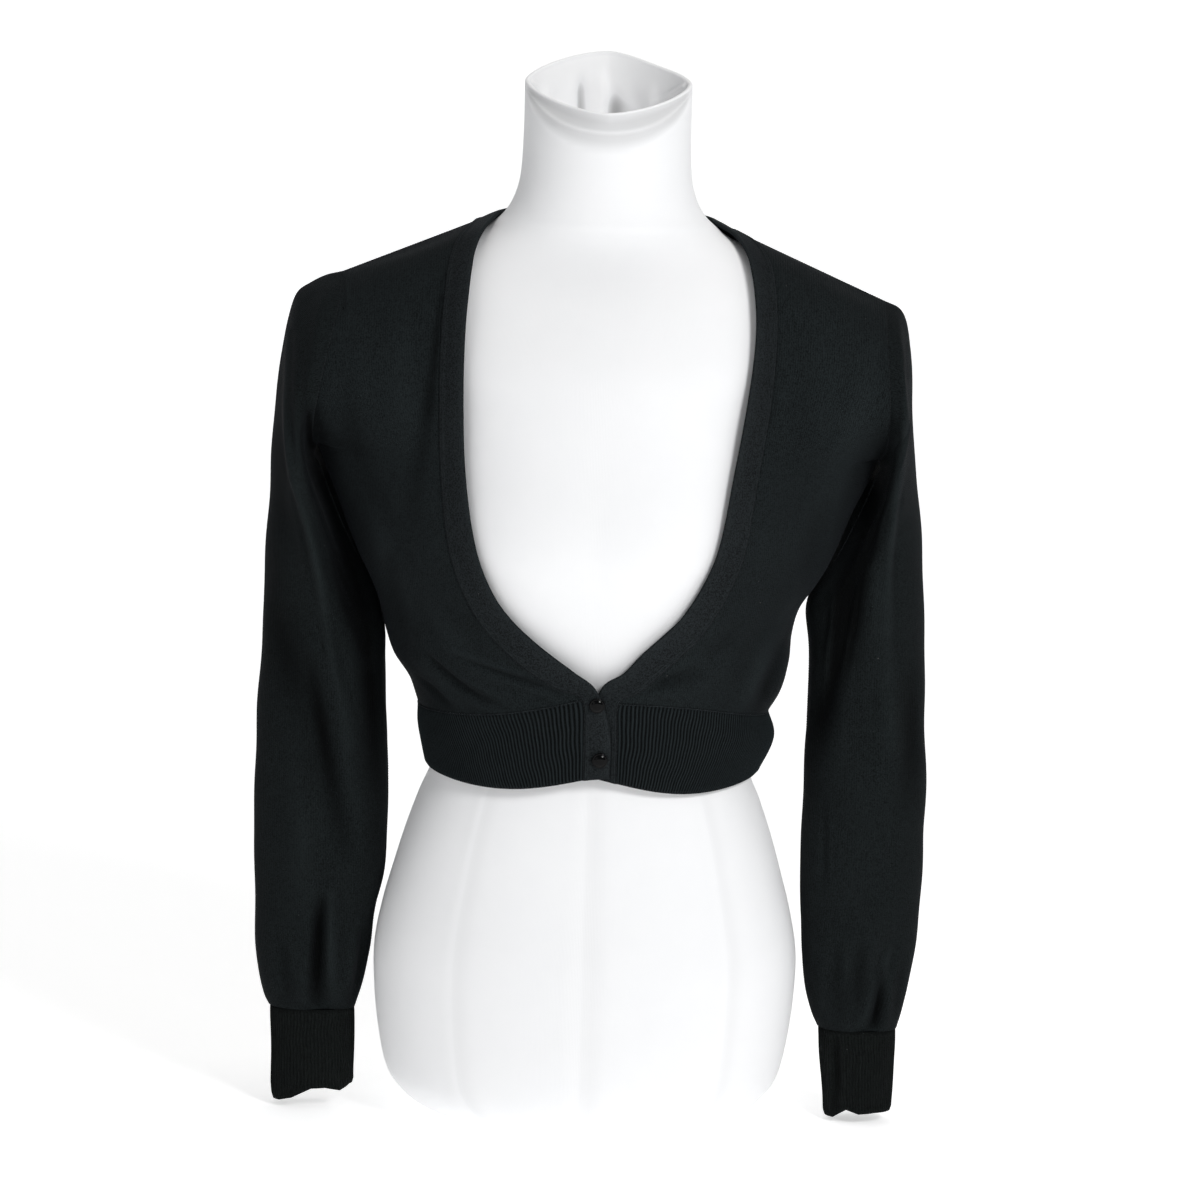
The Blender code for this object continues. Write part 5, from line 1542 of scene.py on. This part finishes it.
def knit_material(name, colour, bump, painted_stitch_shade, lint, sheen, wale, course):
    """Matt cotton knit: stitches with painted shade between them, uneven dye, small fibres, a few
    specks of lint, painted shade where it turns away, and the points' painted highlight and painted
    shade.
    """
    shader = Shader(name)

    def colour_share(share):
        return tuple(value * share for value in colour)

    height = shader.stitches(wale, course)
    fibre = shader.noise(*FIBRE)
    grain = shader.maths("SUBTRACT", shader.noise(*GRAIN), 0.5)
    # painted shade between the stitches, over the uneven dye of the noises
    shade = shader.total((height, painted_stitch_shade), (shader.noise(*PATCH), PATCH_SHARE),
                         (shader.noise(*STREAK), STREAK_SHARE), (grain, GRAIN_SHARE))
    final = shader.mix(shade, colour_share(DYE_AND_STITCH_SHADE_DARK), colour_share(DYE_AND_STITCH_SHADE_LIGHT))
    specks = shader.node("TexVoronoi", Vector=shader.place, Scale=SPECK_SCALE)
    close = shader.maths("LESS_THAN", specks.outputs["Distance"], SPECK_SIZE)
    rare = shader.maths("GREATER_THAN", shader.noise(*SPECK_PATCH), 1.0 - lint)
    speck = shader.maths("MULTIPLY", close, rare)
    final = shader.mix(shader.maths("MULTIPLY", speck, 0.6), final, LINT)
    # painted shade where the knit turns away from the view, darkening its sides
    turned = shader.node("LayerWeight").outputs["Facing"]
    final = shader.mix(shader.maths("MULTIPLY", turned, TURNED_SHADE), final, colour_share(PAINTED_TURNED_SHADE))
    # the points' painted light: painted highlight on ridges, painted shade in folds
    return shader.surface(
        (bump, KNIT_DEPTH, shader.total((height, 0.75), (fibre, 0.5))),
        Base_Color=shader.with_painted_light(final, colour_share(PAINTED_RIDGE_HIGHLIGHT), colour_share(PAINTED_FOLD_SHADE)),
        Roughness=shader.maths("ADD", shader.maths("MULTIPLY", fibre, 0.12), 0.84),
        Specular_IOR_Level=0.06, Sheen_Weight=sheen, Sheen_Roughness=0.45,
        Sheen_Tint=SHEEN_TINT)


def form_material():
    """White stretch jersey, very fine, with faint panel seams, painted shade between its stitches,
    and the points' painted highlight and painted shade.
    """
    shader = Shader("form_cover")
    height = shader.stitches(*FORM_STITCH)
    cloudy = shader.noise(55.0, 3.0)
    # painted shade between the stitches, over the cover's uneven colour
    shade = shader.total((shader.noise(9.0, 3.0), 0.6), (cloudy, 0.25), (height, 0.15))
    colour = shader.mix(shade, *FORM_COLOURS)
    return shader.surface(
        (0.25, 0.0003, height),
        Base_Color=shader.with_painted_light(colour, *FORM_PAINTED_LIGHT_COLOURS),
        Roughness=shader.maths("ADD", shader.maths("MULTIPLY", cloudy, 0.15), 0.62),
        Specular_IOR_Level=0.3, Sheen_Weight=0.08, Sheen_Roughness=0.4)


def button_material():
    """Polished black plastic with fine handling marks."""
    shader = Shader("button_gloss")
    marks = shader.noise(700.0, 4.0)
    return shader.surface(
        (0.05, 0.0001, marks),
        Base_Color=shader.mix(shader.noise(180.0, 2.0), *BUTTON_COLOURS),
        Roughness=shader.maths("ADD", shader.maths("MULTIPLY", marks, 0.12), 0.06),
        Specular_IOR_Level=0.1, Coat_Weight=0.03, Coat_Roughness=0.04)


def stage_material():
    """The studio's white paper, which glows a little."""
    shader = Shader("backdrop")
    return shader.surface(
        Base_Color=shader.mix(shader.noise(0.8, 2.0), *PAPER_COLOURS), Roughness=0.9,
        Emission_Color=(1.0, 1.0, 1.0), Emission_Strength=PAPER_GLOW)


# ---------------------------------------------------------------- finish: pieces

def band_seam_line(side, steps):
    """The band's seam on one side, hem to shoulder, with its stations steps apart."""
    seam = spline([band_point(station, 1.0) for station in band_stations()], steps)
    return seam if side == "right" else seam[::-1]


def armhole_edges(front, back):
    """The two halves of the fine armhole line by face, from the armpit up."""
    ring = [front[LOW_ROWS + ARM_ROWS - k][0] for k in range(ARM_ROWS + 1)]
    ring += [back[LOW_ROWS + j][0] for j in range(1, ARM_ROWS)]
    ring = spline(ring, FINE_ROWS, True)
    half = ARM_ROWS * FINE_ROWS
    ring[0, 1] = ring[half, 1] = 0.0
    return {-1: ring[:half + 1][::-1], 1: np.concatenate([ring[half:], ring[:1]])}


def inner_edge(side, face, grid, frames):
    """Where a body panel's fine rows end: on the band's seam, or at the centre back below it."""
    if face > 0:
        ends = [row[-1] for row in grid]
        corner = LOW_ROWS + CENTRE_ROWS
        centre, neck = spline(ends[:corner + 1], FINE_ROWS), spline(ends[corner:], FINE_ROWS)
        return np.concatenate([centre[:-1], neck])
    across = spline([frames[("front", side, share)][1] for share in
                     Neckline(side).panel_shares()], FINE_ROWS)
    low = (len(WAISTBAND) - 1) * FINE_ROWS
    seam = band_seam_line(side, FINE_ROWS)[low:low + len(across)]
    return seam + unit(across) * SEAM_GAP


def body_pieces(frames):
    """Fine points and normals of fronts, back and sleeves, and the lines of their seams."""
    pieces, seams = {"back": []}, {}
    for side in SIDES:
        (front, front_lines), (back, back_lines), (sleeve, sleeve_lines) = side_grids(side, frames)
        armhole = armhole_edges(front, back)
        seam = spline([(row[0].x, 0.0, row[0].z) for row in front[:LOW_ROWS + 1]], FINE_ROWS)
        for grid, lines, face in ((front, front_lines, -1), (back, back_lines, 1)):
            points = fine_grid(grid, FINE_ROWS, FINE_COLUMNS)
            normals = unit(fine_grid(lines, FINE_ROWS, FINE_COLUMNS))
            reach = 2 * FINE_COLUMNS if face > 0 else FINE_COLUMNS
            pull_edge(points, -1, inner_edge(side, face, grid, frames), reach)
            edge = np.concatenate([seam[:-1], armhole[face]])
            pull_edge(points, 0, edge + np.array([0.0, face * SEAM_GAP / 2, 0.0]), FINE_COLUMNS)
            points[-1, :, 1] = face * SEAM_GAP / 2
            if face > 0:
                normals[:NECK_CORNER + 1, -1, 0] = 0.0
                pieces["back"].append((points, unit(normals)))
                continue
            pieces["front_" + side] = [(points, normals)]
            seams["shoulder_" + side] = (points[-1] + [0.0, SEAM_GAP / 2, 0.0], normals[-1])
            seams["side_" + side] = (seam, normals[:LOW_ROWS * FINE_ROWS + 1, 0])
        half = len(sleeve[0]) // 2
        points, normals = (fine_grid([row[half:] + row[:half] for row in grid], FINE_ROWS,
                                     FINE_COLUMNS, True) for grid in (sleeve, sleeve_lines))
        normals = unit(normals)
        pieces["sleeve_" + side] = [(points, normals)]
        seams["armhole_" + side] = (points[0, :-1], normals[0, :-1])
        seams["underarm_" + side] = (points[:, 0], normals[:, 0])
    return pieces, seams


def neckband_arrays(frames):
    """Free edge, middle, seam and normal along the neckband, right hem to left hem."""
    stations = band_stations()
    arrays = [spline([band_point(station, across) for station in stations], BAND_FINE)
              for across in (0.0, 0.5, 1.0)]
    return arrays + [unit(spline([frames[station][0] for station in stations], BAND_FINE))]


def neckband_piece(frames, material):
    edge, middle, seam, normal = neckband_arrays(frames)

    def at(share):
        """Point across the band, on the curve through edge, middle and seam."""
        return (edge * (1 - share) * (1 - 2 * share) + middle * 4 * share * (1 - share)
                + seam * share * (2 * share - 1))

    inward = unit(seam - edge)
    section = []
    painted_lights = []
    for share, height, tone in BAND_FACE:
        section.append(at(share) + normal * (BAND_PROUD + height))
        painted_lights.append(tone)
    centre = at(0.0) + inward * BAND_TURN + normal * (BAND_PROUD - BAND_TURN)
    for step in range(BAND_TURN_STEPS + 1):
        angle = math.pi * step / BAND_TURN_STEPS
        section.append(centre + normal * BAND_TURN * math.cos(angle)
                       - inward * BAND_TURN * math.sin(angle))
        # painted highlight on top of the fold, painted shade under it
        painted_lights.append(BAND_TURN_PAINTED_LIGHT * math.cos(angle))
    for share in BAND_BACK:
        section.append(at(share) + normal * (BAND_PROUD - BAND_WALL))
        painted_lights.append(0.0)
    rings = np.swapaxes(np.array(section), 0, 1)
    rows = len(rings)
    widths = lengths(rings, 1)
    along = lengths(edge[:, None] * 0.5 + seam[:, None] * 0.5, 0)
    knit = np.stack([widths, along + 0 * widths], -1)
    faces = tube_faces(rows, len(section))
    item = mesh_object("neckband_knit", rings.reshape(-1, 3), faces,
                       at_corners(faces, knit.reshape(-1, 2)), material,
                       np.tile(painted_lights, rows))
    return item, (seam, normal)


def rib_wall(name, grid, normals, height, closed, material, edge=None):
    """A ribbed wall with round ribs, its open edge turned under, its last column on edge."""
    points = spline(grid, RIB_ROWS)
    if edge is not None:
        pull_edge(points, -1, edge, 4 * RIB_COLUMNS)
    lines = unit(spline(normals, RIB_ROWS))
    if closed:
        points = np.concatenate([points, points[:, :1]], axis=1)
        lines = np.concatenate([lines, lines[:, :1]], axis=1)
    down = lengths(points, 0)
    left = down[-1:] - down
    columns = points.shape[1]
    count = np.arange(columns)
    wobble = 0.0
    for length, lag, size in RIB_WOBBLE:
        wobble = wobble + size * np.sin(down / length + count * lag)
    wobble = wobble * np.clip(np.minimum(count, columns - 1 - count) / RIB_STILL, 0.0, 1.0)
    if edge is not None:
        wobble = wobble + RIB_SLANT * (2 * down / down[-1:] - 1) * np.sin(math.pi * count / columns)
    aside = unit(np.gradient(points, axis=1))
    points = points + aside * wobble[..., None]
    profile = np.sin(math.pi * (count % RIB_COLUMNS) / RIB_COLUMNS) ** RIB_ROUND
    ends = ease(left / RIB_FADE_LOW) * ease((down + 0.6) / RIB_FADE_TOP)
    low = ease(1 - left / RIB_TURN)
    fold, tone = crease(name, points, lines, np.minimum(down, left))
    rise = height * (RIB_SPAN * profile - RIB_SINK) * (RIB_END + (1 - RIB_END) * ends)
    rise = rise - RIB_TURN_DEPTH * low + fold
    uneven = np.sin(count // RIB_COLUMNS * 2.4) * np.sin(down / 6.0 + count * 0.05)
    uneven = 1 - RIB_UNEVEN + RIB_UNEVEN * uneven
    contrast = RIB_PAINTED_LIGHT[name.split("_")[0]]
    # painted highlight on each rib and painted shade in its groove
    tone = tone + np.clip((profile - RIB_MIDDLE) * contrast * uneven, -0.8, 0.9)
    knit = np.stack([count / RIB_COLUMNS * WALE + 0 * down, -down], -1)
    outer = points + lines * rise[..., None]
    inner = points - lines * (WALL - 0.35 * low)[..., None]
    return wall_object(name + "_rib", [(outer, inner, knit, tone, closed, 0)], material)


def waistband_pieces(frames, material):
    """Ribbed waistband, and the points and normals of its top edge."""
    items, tops = {}, {}

    def add(name, grid, ends, step, edge=None):
        """One piece, with the columns named in ends moved off the middle of their seams."""
        normals = sided_normals(grid, ends)
        for row in grid:
            for end in ends:
                row[end] = row[end] + Vector((0, step, 0))
        items[name] = rib_wall(name, grid, normals, FINE_RIB_HEIGHT, False, material, edge)
        tops[name] = (np.array(grid[0]), np.array(normals[0]))

    for side in SIDES:
        grid = waistband_rows(side, "front", RIB_COLUMNS * FINE_RIB_FRONT, frames)
        shares = [Neckline(side).waist_share()] + Neckline(side).placket_shares()[::-1]
        across = spline([frames[("front", side, share)][1] for share in shares], RIB_ROWS)
        edge = band_seam_line(side, RIB_ROWS)[:len(across)][::-1] + unit(across) * SEAM_GAP
        edge[0, 2] -= WAIST_SEAM_DROP
        add("waistband_" + side, grid, (0,), -SEAM_GAP / 2, edge)
    halves = [waistband_rows(side, "back", RIB_COLUMNS * FINE_RIB_BACK // 2, frames)
              for side in SIDES]
    add("waistband_back", [right + left[-2::-1] for right, left in zip(*halves)], (0, -1),
        SEAM_GAP / 2)
    return items, tops


def cuff_pieces(material):
    """Ribbed cuffs, and the points and normals of their top edges."""
    items, tops = {}, {}
    for side in SIDES:
        grid = cuff_rings(side, RIB_COLUMNS * FINE_RIB_CUFF)
        normals = sleeve_normals(grid)
        name = "cuff_" + side
        items[name] = rib_wall(name, grid, normals, FINE_RIB_HEIGHT / 2, True, material)
        tops[name] = (np.array(grid[0]), np.array(normals[0]))
    return items, tops


def cover_levels():
    """The form's table with finer rows, and finer ones still round the neck."""
    table = spline(FORM_RINGS, FORM_FINE)
    levels = table[:, 0]
    fine = np.concatenate([levels[levels < COVER_LOW],
                           np.arange(COVER_LOW, levels[-1], 1.0), levels[-1:]])
    return np.stack([np.interp(fine, levels, column) for column in table.T], -1)


def cover_rings(degrees, c, s):
    """Rings of the cover from the base to the rim, and their painted light."""
    dip = RIM_DIP * np.exp(-((degrees - RIM_DIP_ANGLE) / RIM_DIP_WIDTH) ** 2)
    edge = EDGE_NARROW + (EDGE_DEEP - EDGE_NARROW) * np.abs(s) ** 1.4
    seen = ease((edge - EDGE_NARROW) / EDGE_FADE)
    places, rises, edge_painted_light = zip(*EDGE_SHAPE)
    rings, painted_lights = [], []
    for z, half, front, back, power in cover_levels():
        share = smooth_step((z - RIM_BASE) / (RIM_TOP - RIM_BASE))
        power -= RIM_POINTED * smooth_step((z - RIM_TOP + EDGE_DEEP + 2) / EDGE_DEEP)
        x = half * np.sign(c) * np.abs(c) ** (2 / power)
        y = np.where(s > 0, back, front) * np.sign(s) * np.abs(s) ** (2 / power)
        bust = ((np.abs(x) - BUST_X) ** 2 + (z - BUST_Z) ** 2) / (2 * BUST_SPREAD ** 2)
        y = y - np.where(s < 0, BUST_RISE * np.exp(-bust) * np.abs(s), 0.0)
        height = z + RIM_TILT * share * y / front - dip * share
        rise = tone = np.zeros(FORM_FINE_SIDES)
        if z >= COVER_LOW - EDGE_REACH:
            place = (RIM_TOP + RIM_TILT * y / front - dip - height) / edge
            rise = np.interp(place, places, rises) * seen
            # painted shade of the turned edge under the rim
            tone = np.interp(place, places, edge_painted_light) * seen
        fade = smooth_step((PANEL_TOP - z) / PANEL_FADE) * smooth_step((z + 2) / 12.0)
        for seam in PANEL_SEAMS:
            apart = degrees - seam
            rise = rise + PANEL_RISE * fade * np.exp(-(apart / PANEL_WIDTH) ** 2)
            # painted highlight on the panel seams and painted shade beside them
            tone = tone + fade * (PANEL_LIGHT * np.exp(-(apart / 1.2) ** 2)
                                  - PANEL_SHADE * np.exp(-((apart - 4) / 3) ** 2))
        ring = np.stack([x, y, height], -1)
        rings.append(ring + unit(ring * FLAT) * rise[:, None])
        painted_lights.append(tone)
    return rings, painted_lights


def roll_rings(rim, s):
    """The cover rolled over the rim, with a painted highlight on it."""
    wide = ROLL_NARROW + (ROLL_WIDE - ROLL_NARROW) * np.abs(s)
    rings = []
    for step in range(1, ROLL_STEPS + 1):
        angle = math.pi * step / ROLL_STEPS
        shrink = 1 - wide / 2 * (1 - math.cos(angle)) / NECK_RADIUS
        lift = ROLL_HEIGHT * math.sin(angle) - ROLL_DROP * step / ROLL_STEPS
        rings.append(rim * FLAT * shrink[:, None] + (rim[:, 2:] + lift) * UP)
    return rings, [ROLL_PAINTED_HIGHLIGHT + 0 * s] * ROLL_STEPS


def pulled(degrees, depth):
    """Folds pulled towards the corners inside the neck: how far they stand in, and their painted
    light: a painted highlight on each fold and painted shade beside it.
    """
    fold, tone = 0.0, 0.0
    for pull in PULLS:
        run = NECK_RADIUS * math.radians(pull.angle1 - pull.angle0)
        rise = pull.depth1 - pull.depth0
        across, down = NECK_RADIUS * np.radians(degrees - pull.angle0), depth - pull.depth0
        near = np.clip((across * run + down * rise) / (run ** 2 + rise ** 2), 0.0, 1.0)
        away = np.hypot(across - run * near, down - rise * near)
        fade = ease(near / 0.6)
        ridge = np.exp(-(away / pull.width) ** 2) * fade
        beside = np.exp(-((away - 2 * pull.width) / pull.width) ** 2) * fade
        fold = fold + pull.height * ridge
        # painted highlight on the pulled fold, painted shade beside it
        tone = tone + 0.3 * ridge - 0.35 * beside
    return fold, tone


def recess_rings(lip, degrees, c):
    """The cover's tucked end inside the neck, with its painted light."""
    rings, painted_lights = [], []
    for step in range(1, RECESS_ROWS + 1):
        share = step / RECESS_ROWS
        depth = (lip[:, 2] - RECESS_FLOOR - RECESS_CLEAR) * math.sin(math.pi / 2 * share)
        fold, tone = pulled(degrees, depth)
        # painted highlight near the rim fading to painted shade deeper in, and painted shade on the
        # wearer's left
        tone = tone + RECESS_LIGHT * (1 - np.clip(depth / RECESS_DEEP, 0.0, 1.0))
        tone = tone - RECESS_SHADE * np.clip(c, 0.0, 1.0)
        for pleat in PLEATS:
            apart = (degrees - pleat.angle + 180) % 360 - 180
            deep = ease((depth - pleat.start) / PLEAT_FADE)
            shape = np.exp(-(apart / (pleat.width * (0.45 + 0.65 * deep))) ** 2) * deep
            fold = fold + pleat.depth * shape
            # painted shade in the pleats' troughs and painted highlight on their ridges
            tone = tone + pleat.tone * shape
        evenly, at_floor = RECESS_NARROWS
        shrink = 1 - evenly * share - at_floor * share ** 4 - fold / NECK_RADIUS
        rings.append(lip * FLAT * shrink[:, None] + (lip[:, 2:] - depth[:, None]) * UP)
        painted_lights.append(tone)
    return rings, painted_lights


def form_piece(material):
    """The form's cover: panel seams, the turned edge under the rim and the tucked top."""
    angles = 2 * math.pi * np.arange(FORM_FINE_SIDES) / FORM_FINE_SIDES
    degrees = (np.degrees(angles) + 180) % 360 - 180
    c, s = np.cos(angles), np.sin(angles)
    rings, painted_lights = cover_rings(degrees, c, s)
    roll, roll_painted_light = roll_rings(rings[-1], s)
    recess, recess_painted_light = recess_rings(roll[-1], degrees, c)
    points = np.array(rings + roll + recess)
    faces = tube_faces(len(points), FORM_FINE_SIDES)
    knit = np.stack([degrees * 2.2 + 0 * points[..., 0], points[..., 2]], -1).reshape(-1, 2)
    return mesh_object("form_cover", points.reshape(-1, 3), faces, at_corners(faces, knit),
                       material, np.array(painted_lights + roll_painted_light + recess_painted_light))


def button_pieces(material, thread):
    """Two domed buttons, each on a short thread shank beside its worked hole."""
    items = {}
    for name, (x, z) in BUTTONS.items():
        face, normal = placket_face(x, z)
        turn = normal.to_track_quat("Z", "Y")
        points = []
        for radius, height in BUTTON_PROFILE:
            for k in range(BUTTON_SIDES):
                angle = 2 * math.pi * k / BUTTON_SIDES
                spot = Vector((radius * math.cos(angle), radius * math.sin(angle), height))
                points.append(face + turn @ spot + normal * (BAND_PROUD + BUTTON_STAND))
        faces = tube_faces(len(BUTTON_PROFILE), BUTTON_SIDES)
        crown = faces.pop()
        faces += [[a, b, len(points)] for a, b in zip(crown, crown[1:] + crown[:1])]
        points.append(face + normal * (BAND_PROUD + BUTTON_STAND + BUTTON_HEIGHT))
        items[name] = mesh_object(name + "_gloss", np.array(points), faces,
                                  np.zeros((sum(map(len, faces)), 2)), material)
        shank = [face + normal * (BAND_PROUD + height) for height in SHANK_HEIGHTS]
        aside = turn @ Vector((1, 0, 0))
        chain_object(name + "_shank", shank, [aside] * len(shank), SHANK_RADIUS, SHANK_STITCH,
                     thread)
    return items


def placket_face(x, z):
    """Point and outward normal of the right band's face."""
    face = chest_point("right", -x, z)
    aside, above = chest_point("right", 1 - x, z), chest_point("right", -x, z + 1)
    normal = (above - face).cross(aside - face).normalized()
    if normal.y > 0:
        normal.negate()
    return face, normal


def buttonholes(thread):
    """A worked hole under each button: a closed chain of thread round a short slit."""
    items = []
    for name, (x, z) in BUTTONS.items():
        face, normal = placket_face(x, z)
        across = Vector((1, 0, 0))
        across = (across - normal * across.dot(normal)).normalized()
        up = normal.cross(across)
        if up.z < 0:
            up.negate()
        path = []
        for k in range(HOLE_POINTS):
            angle = 2 * math.pi * k / HOLE_POINTS
            along = HOLE_HALF * math.copysign(abs(math.cos(angle)) ** 0.6, math.cos(angle))
            spot = face + across * (along - HOLE_SHIFT) + up * HOLE_OPEN * math.sin(angle)
            path.append(spot + normal * (BAND_PROUD + 0.15))
        items.append(chain_object(name + "_hole", path, [normal] * HOLE_POINTS, HOLE_THREAD,
                                  HOLE_STITCH, thread, True))
    return items


def fashion_marks(side, points, normals, material):
    """Small paired stitches that follow the armhole where the front was narrowed."""
    after, before, step = MARK_ROWS
    angles = 2 * math.pi * np.arange(CHAIN_SIDES)[:, None] / CHAIN_SIDES
    faces, verts = [], []
    for row in range(LOW_ROWS * FINE_ROWS + after, len(points) - before, step):
        centre, normal = points[row, MARK_COLUMN], normals[row, MARK_COLUMN]
        along = unit(points[row + 2, MARK_COLUMN] - points[row - 2, MARK_COLUMN])
        across = np.cross(normal, along)
        slope = along * MARK_SLOPE[0] + across * MARK_SLOPE[1]
        faces += [[len(verts) + point for point in face]
                  for face in tube_faces(len(MARK_SHARES), CHAIN_SIDES)]
        for share in MARK_SHARES:
            girth = MARK_GIRTH * math.sqrt(max(1 - share ** 2, 0.02))
            verts += list(centre + slope * MARK_HALF * share + across * girth * np.cos(angles)
                          + normal * (girth * np.sin(angles) * 0.9 + 0.1))
    return mesh_object("fashion_marks_%s_front" % side, np.array(verts), faces,
                       np.full((sum(map(len, faces)), 2), 0.5), material)


# ---------------------------------------------------------------- finish: stage

def add_light(name, place, aim, size, power, colour):
    data = bpy.data.lights.new(name, "AREA")
    data.shape = "DISK"
    data.size = size
    data.energy = power
    data.color = colour
    item = bpy.data.objects.new(name, data)
    item.location = place
    item.rotation_euler = (Vector(aim) - Vector(place)).to_track_quat("-Z", "Y").to_euler()
    bpy.context.scene.collection.objects.link(item)


def build_stage():
    profile = [(-FLOOR_SIZE / 2, 0.0), (SWEEP_START, 0.0)]
    for step in range(1, SWEEP_STEPS + 1):
        angle = math.pi / 2 * step / SWEEP_STEPS
        profile.append((SWEEP_START + SWEEP_RADIUS * math.sin(angle),
                        SWEEP_RADIUS * (1 - math.cos(angle))))
    profile.append((SWEEP_START + SWEEP_RADIUS, SWEEP_TOP))
    half = FLOOR_SIZE / 2
    verts = [(side * half, y, z) for y, z in profile for side in (-1, 1)]
    faces = [(2 * k, 2 * k + 1, 2 * k + 3, 2 * k + 2) for k in range(len(profile) - 1)]
    data = bpy.data.meshes.new("backdrop")
    data.from_pydata(verts, [], faces)
    data.shade_smooth()
    data.materials.append(stage_material())
    item = bpy.data.objects.new("backdrop", data)
    bpy.context.scene.collection.objects.link(item)

    world = bpy.data.worlds.new("studio")
    bpy.context.scene.world = world
    world.use_nodes = True
    sky = world.node_tree.nodes["Background"]
    sky.inputs["Color"].default_value = SKY_COLOUR
    sky.inputs["Strength"].default_value = SKY_STRENGTH
    for light in LIGHTS:
        add_light(*light)
    bpy.context.scene.view_settings.view_transform = "Standard"


def build_camera():
    data = bpy.data.cameras.new("view")
    data.lens = CAMERA_LENS
    data.sensor_width = 36.0
    data.sensor_fit = "HORIZONTAL"
    item = bpy.data.objects.new("view", data)
    item.location = CAMERA_PLACE
    turn = (Vector(CAMERA_AIM) - Vector(CAMERA_PLACE)).to_track_quat("-Z", "Y")
    item.rotation_euler = turn.to_euler()
    item.rotation_euler.rotate_axis("Z", math.radians(CAMERA_ROLL))
    bpy.context.scene.collection.objects.link(item)
    bpy.context.scene.camera = item


# ---------------------------------------------------------------- whole scene

# Each sheet of cloth before it was sewn: how it is held, the width and length of its cut in
# metres, the cut's flat area, and what it lies on or hangs from
SHEETS = named("piece held width length area rests_on", (
    ("front_right", "draped", 0.21, 0.35, 0.043, ("dress_form",)),
    ("front_left", "draped", 0.21, 0.35, 0.043, ("dress_form",)),
    ("back", "draped", 0.46, 0.37, 0.155, ("dress_form",)),
    ("sleeve_right", "hung", 0.26, 0.56, 0.112, ("front_right", "back")),
    ("sleeve_left", "hung", 0.26, 0.56, 0.115, ("front_left", "back")),
    ("cuff_right", "hung", 0.15, 0.072, None, ("sleeve_right",)),
    ("cuff_left", "hung", 0.15, 0.072, None, ("sleeve_left",)),
    ("waistband_right", "stretched", 0.19, 0.056, None, ("front_right",)),
    ("waistband_left", "stretched", 0.19, 0.056, None, ("front_left",)),
    ("waistband_back", "stretched", 0.38, 0.055, None, ("back",)),
    ("neckband", "folded", 0.0186, 1.24, None, ("front_right", "front_left", "back")),
))


def main():
    jersey, sleeve, rib, cuff, band, thread, seam_thread = (knit_material(*row) for row in KNITS)
    build_stage()
    build_camera()

    frames = band_frames()
    pieces, seams = body_pieces(frames)
    cloth = {}
    for name, grids in pieces.items():
        closed = name.startswith("sleeve")
        cloth[name] = cloth_wall(name, grids, closed, sleeve if closed else jersey)
    neckband, band_line = neckband_piece(frames, band)
    waist, waist_tops = waistband_pieces(frames, rib)
    cuffs, cuff_tops = cuff_pieces(cuff)
    form = form_piece(form_material())
    buttons = button_pieces(button_material(), thread)
    chains = {}
    for name, line in seams.items():
        chains[name] = seam_chain(name, line, "jersey", thread,
                                  name.startswith("armhole"))
    marks = {side: fashion_marks(side, *pieces["front_" + side][0], jersey) for side in SIDES}
    for name, line in waist_tops.items():
        chains[name] = seam_chain(name, line, "waistband", seam_thread)
    for name, line in cuff_tops.items():
        chains[name] = seam_chain(name, line, "cuff", cuff, True)
    chains["neckband"] = seam_chain("neckband", band_line, "neckband", thread)

    sewn = {name: [chains[name]] for name in [*waist, *cuffs, "neckband"]}
    sewn["neckband"] += buttonholes(thread)
    sewn["back"] = []
    for side in SIDES:
        sewn["front_" + side] = [chains["shoulder_" + side], chains["side_" + side], marks[side]]
        sewn["sleeve_" + side] = [chains["armhole_" + side], chains["underarm_" + side]]

    for name, item in {**cloth, **waist, **cuffs, **buttons}.items():
        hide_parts(name)
    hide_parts("neckband")
    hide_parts("dress_form")


main()
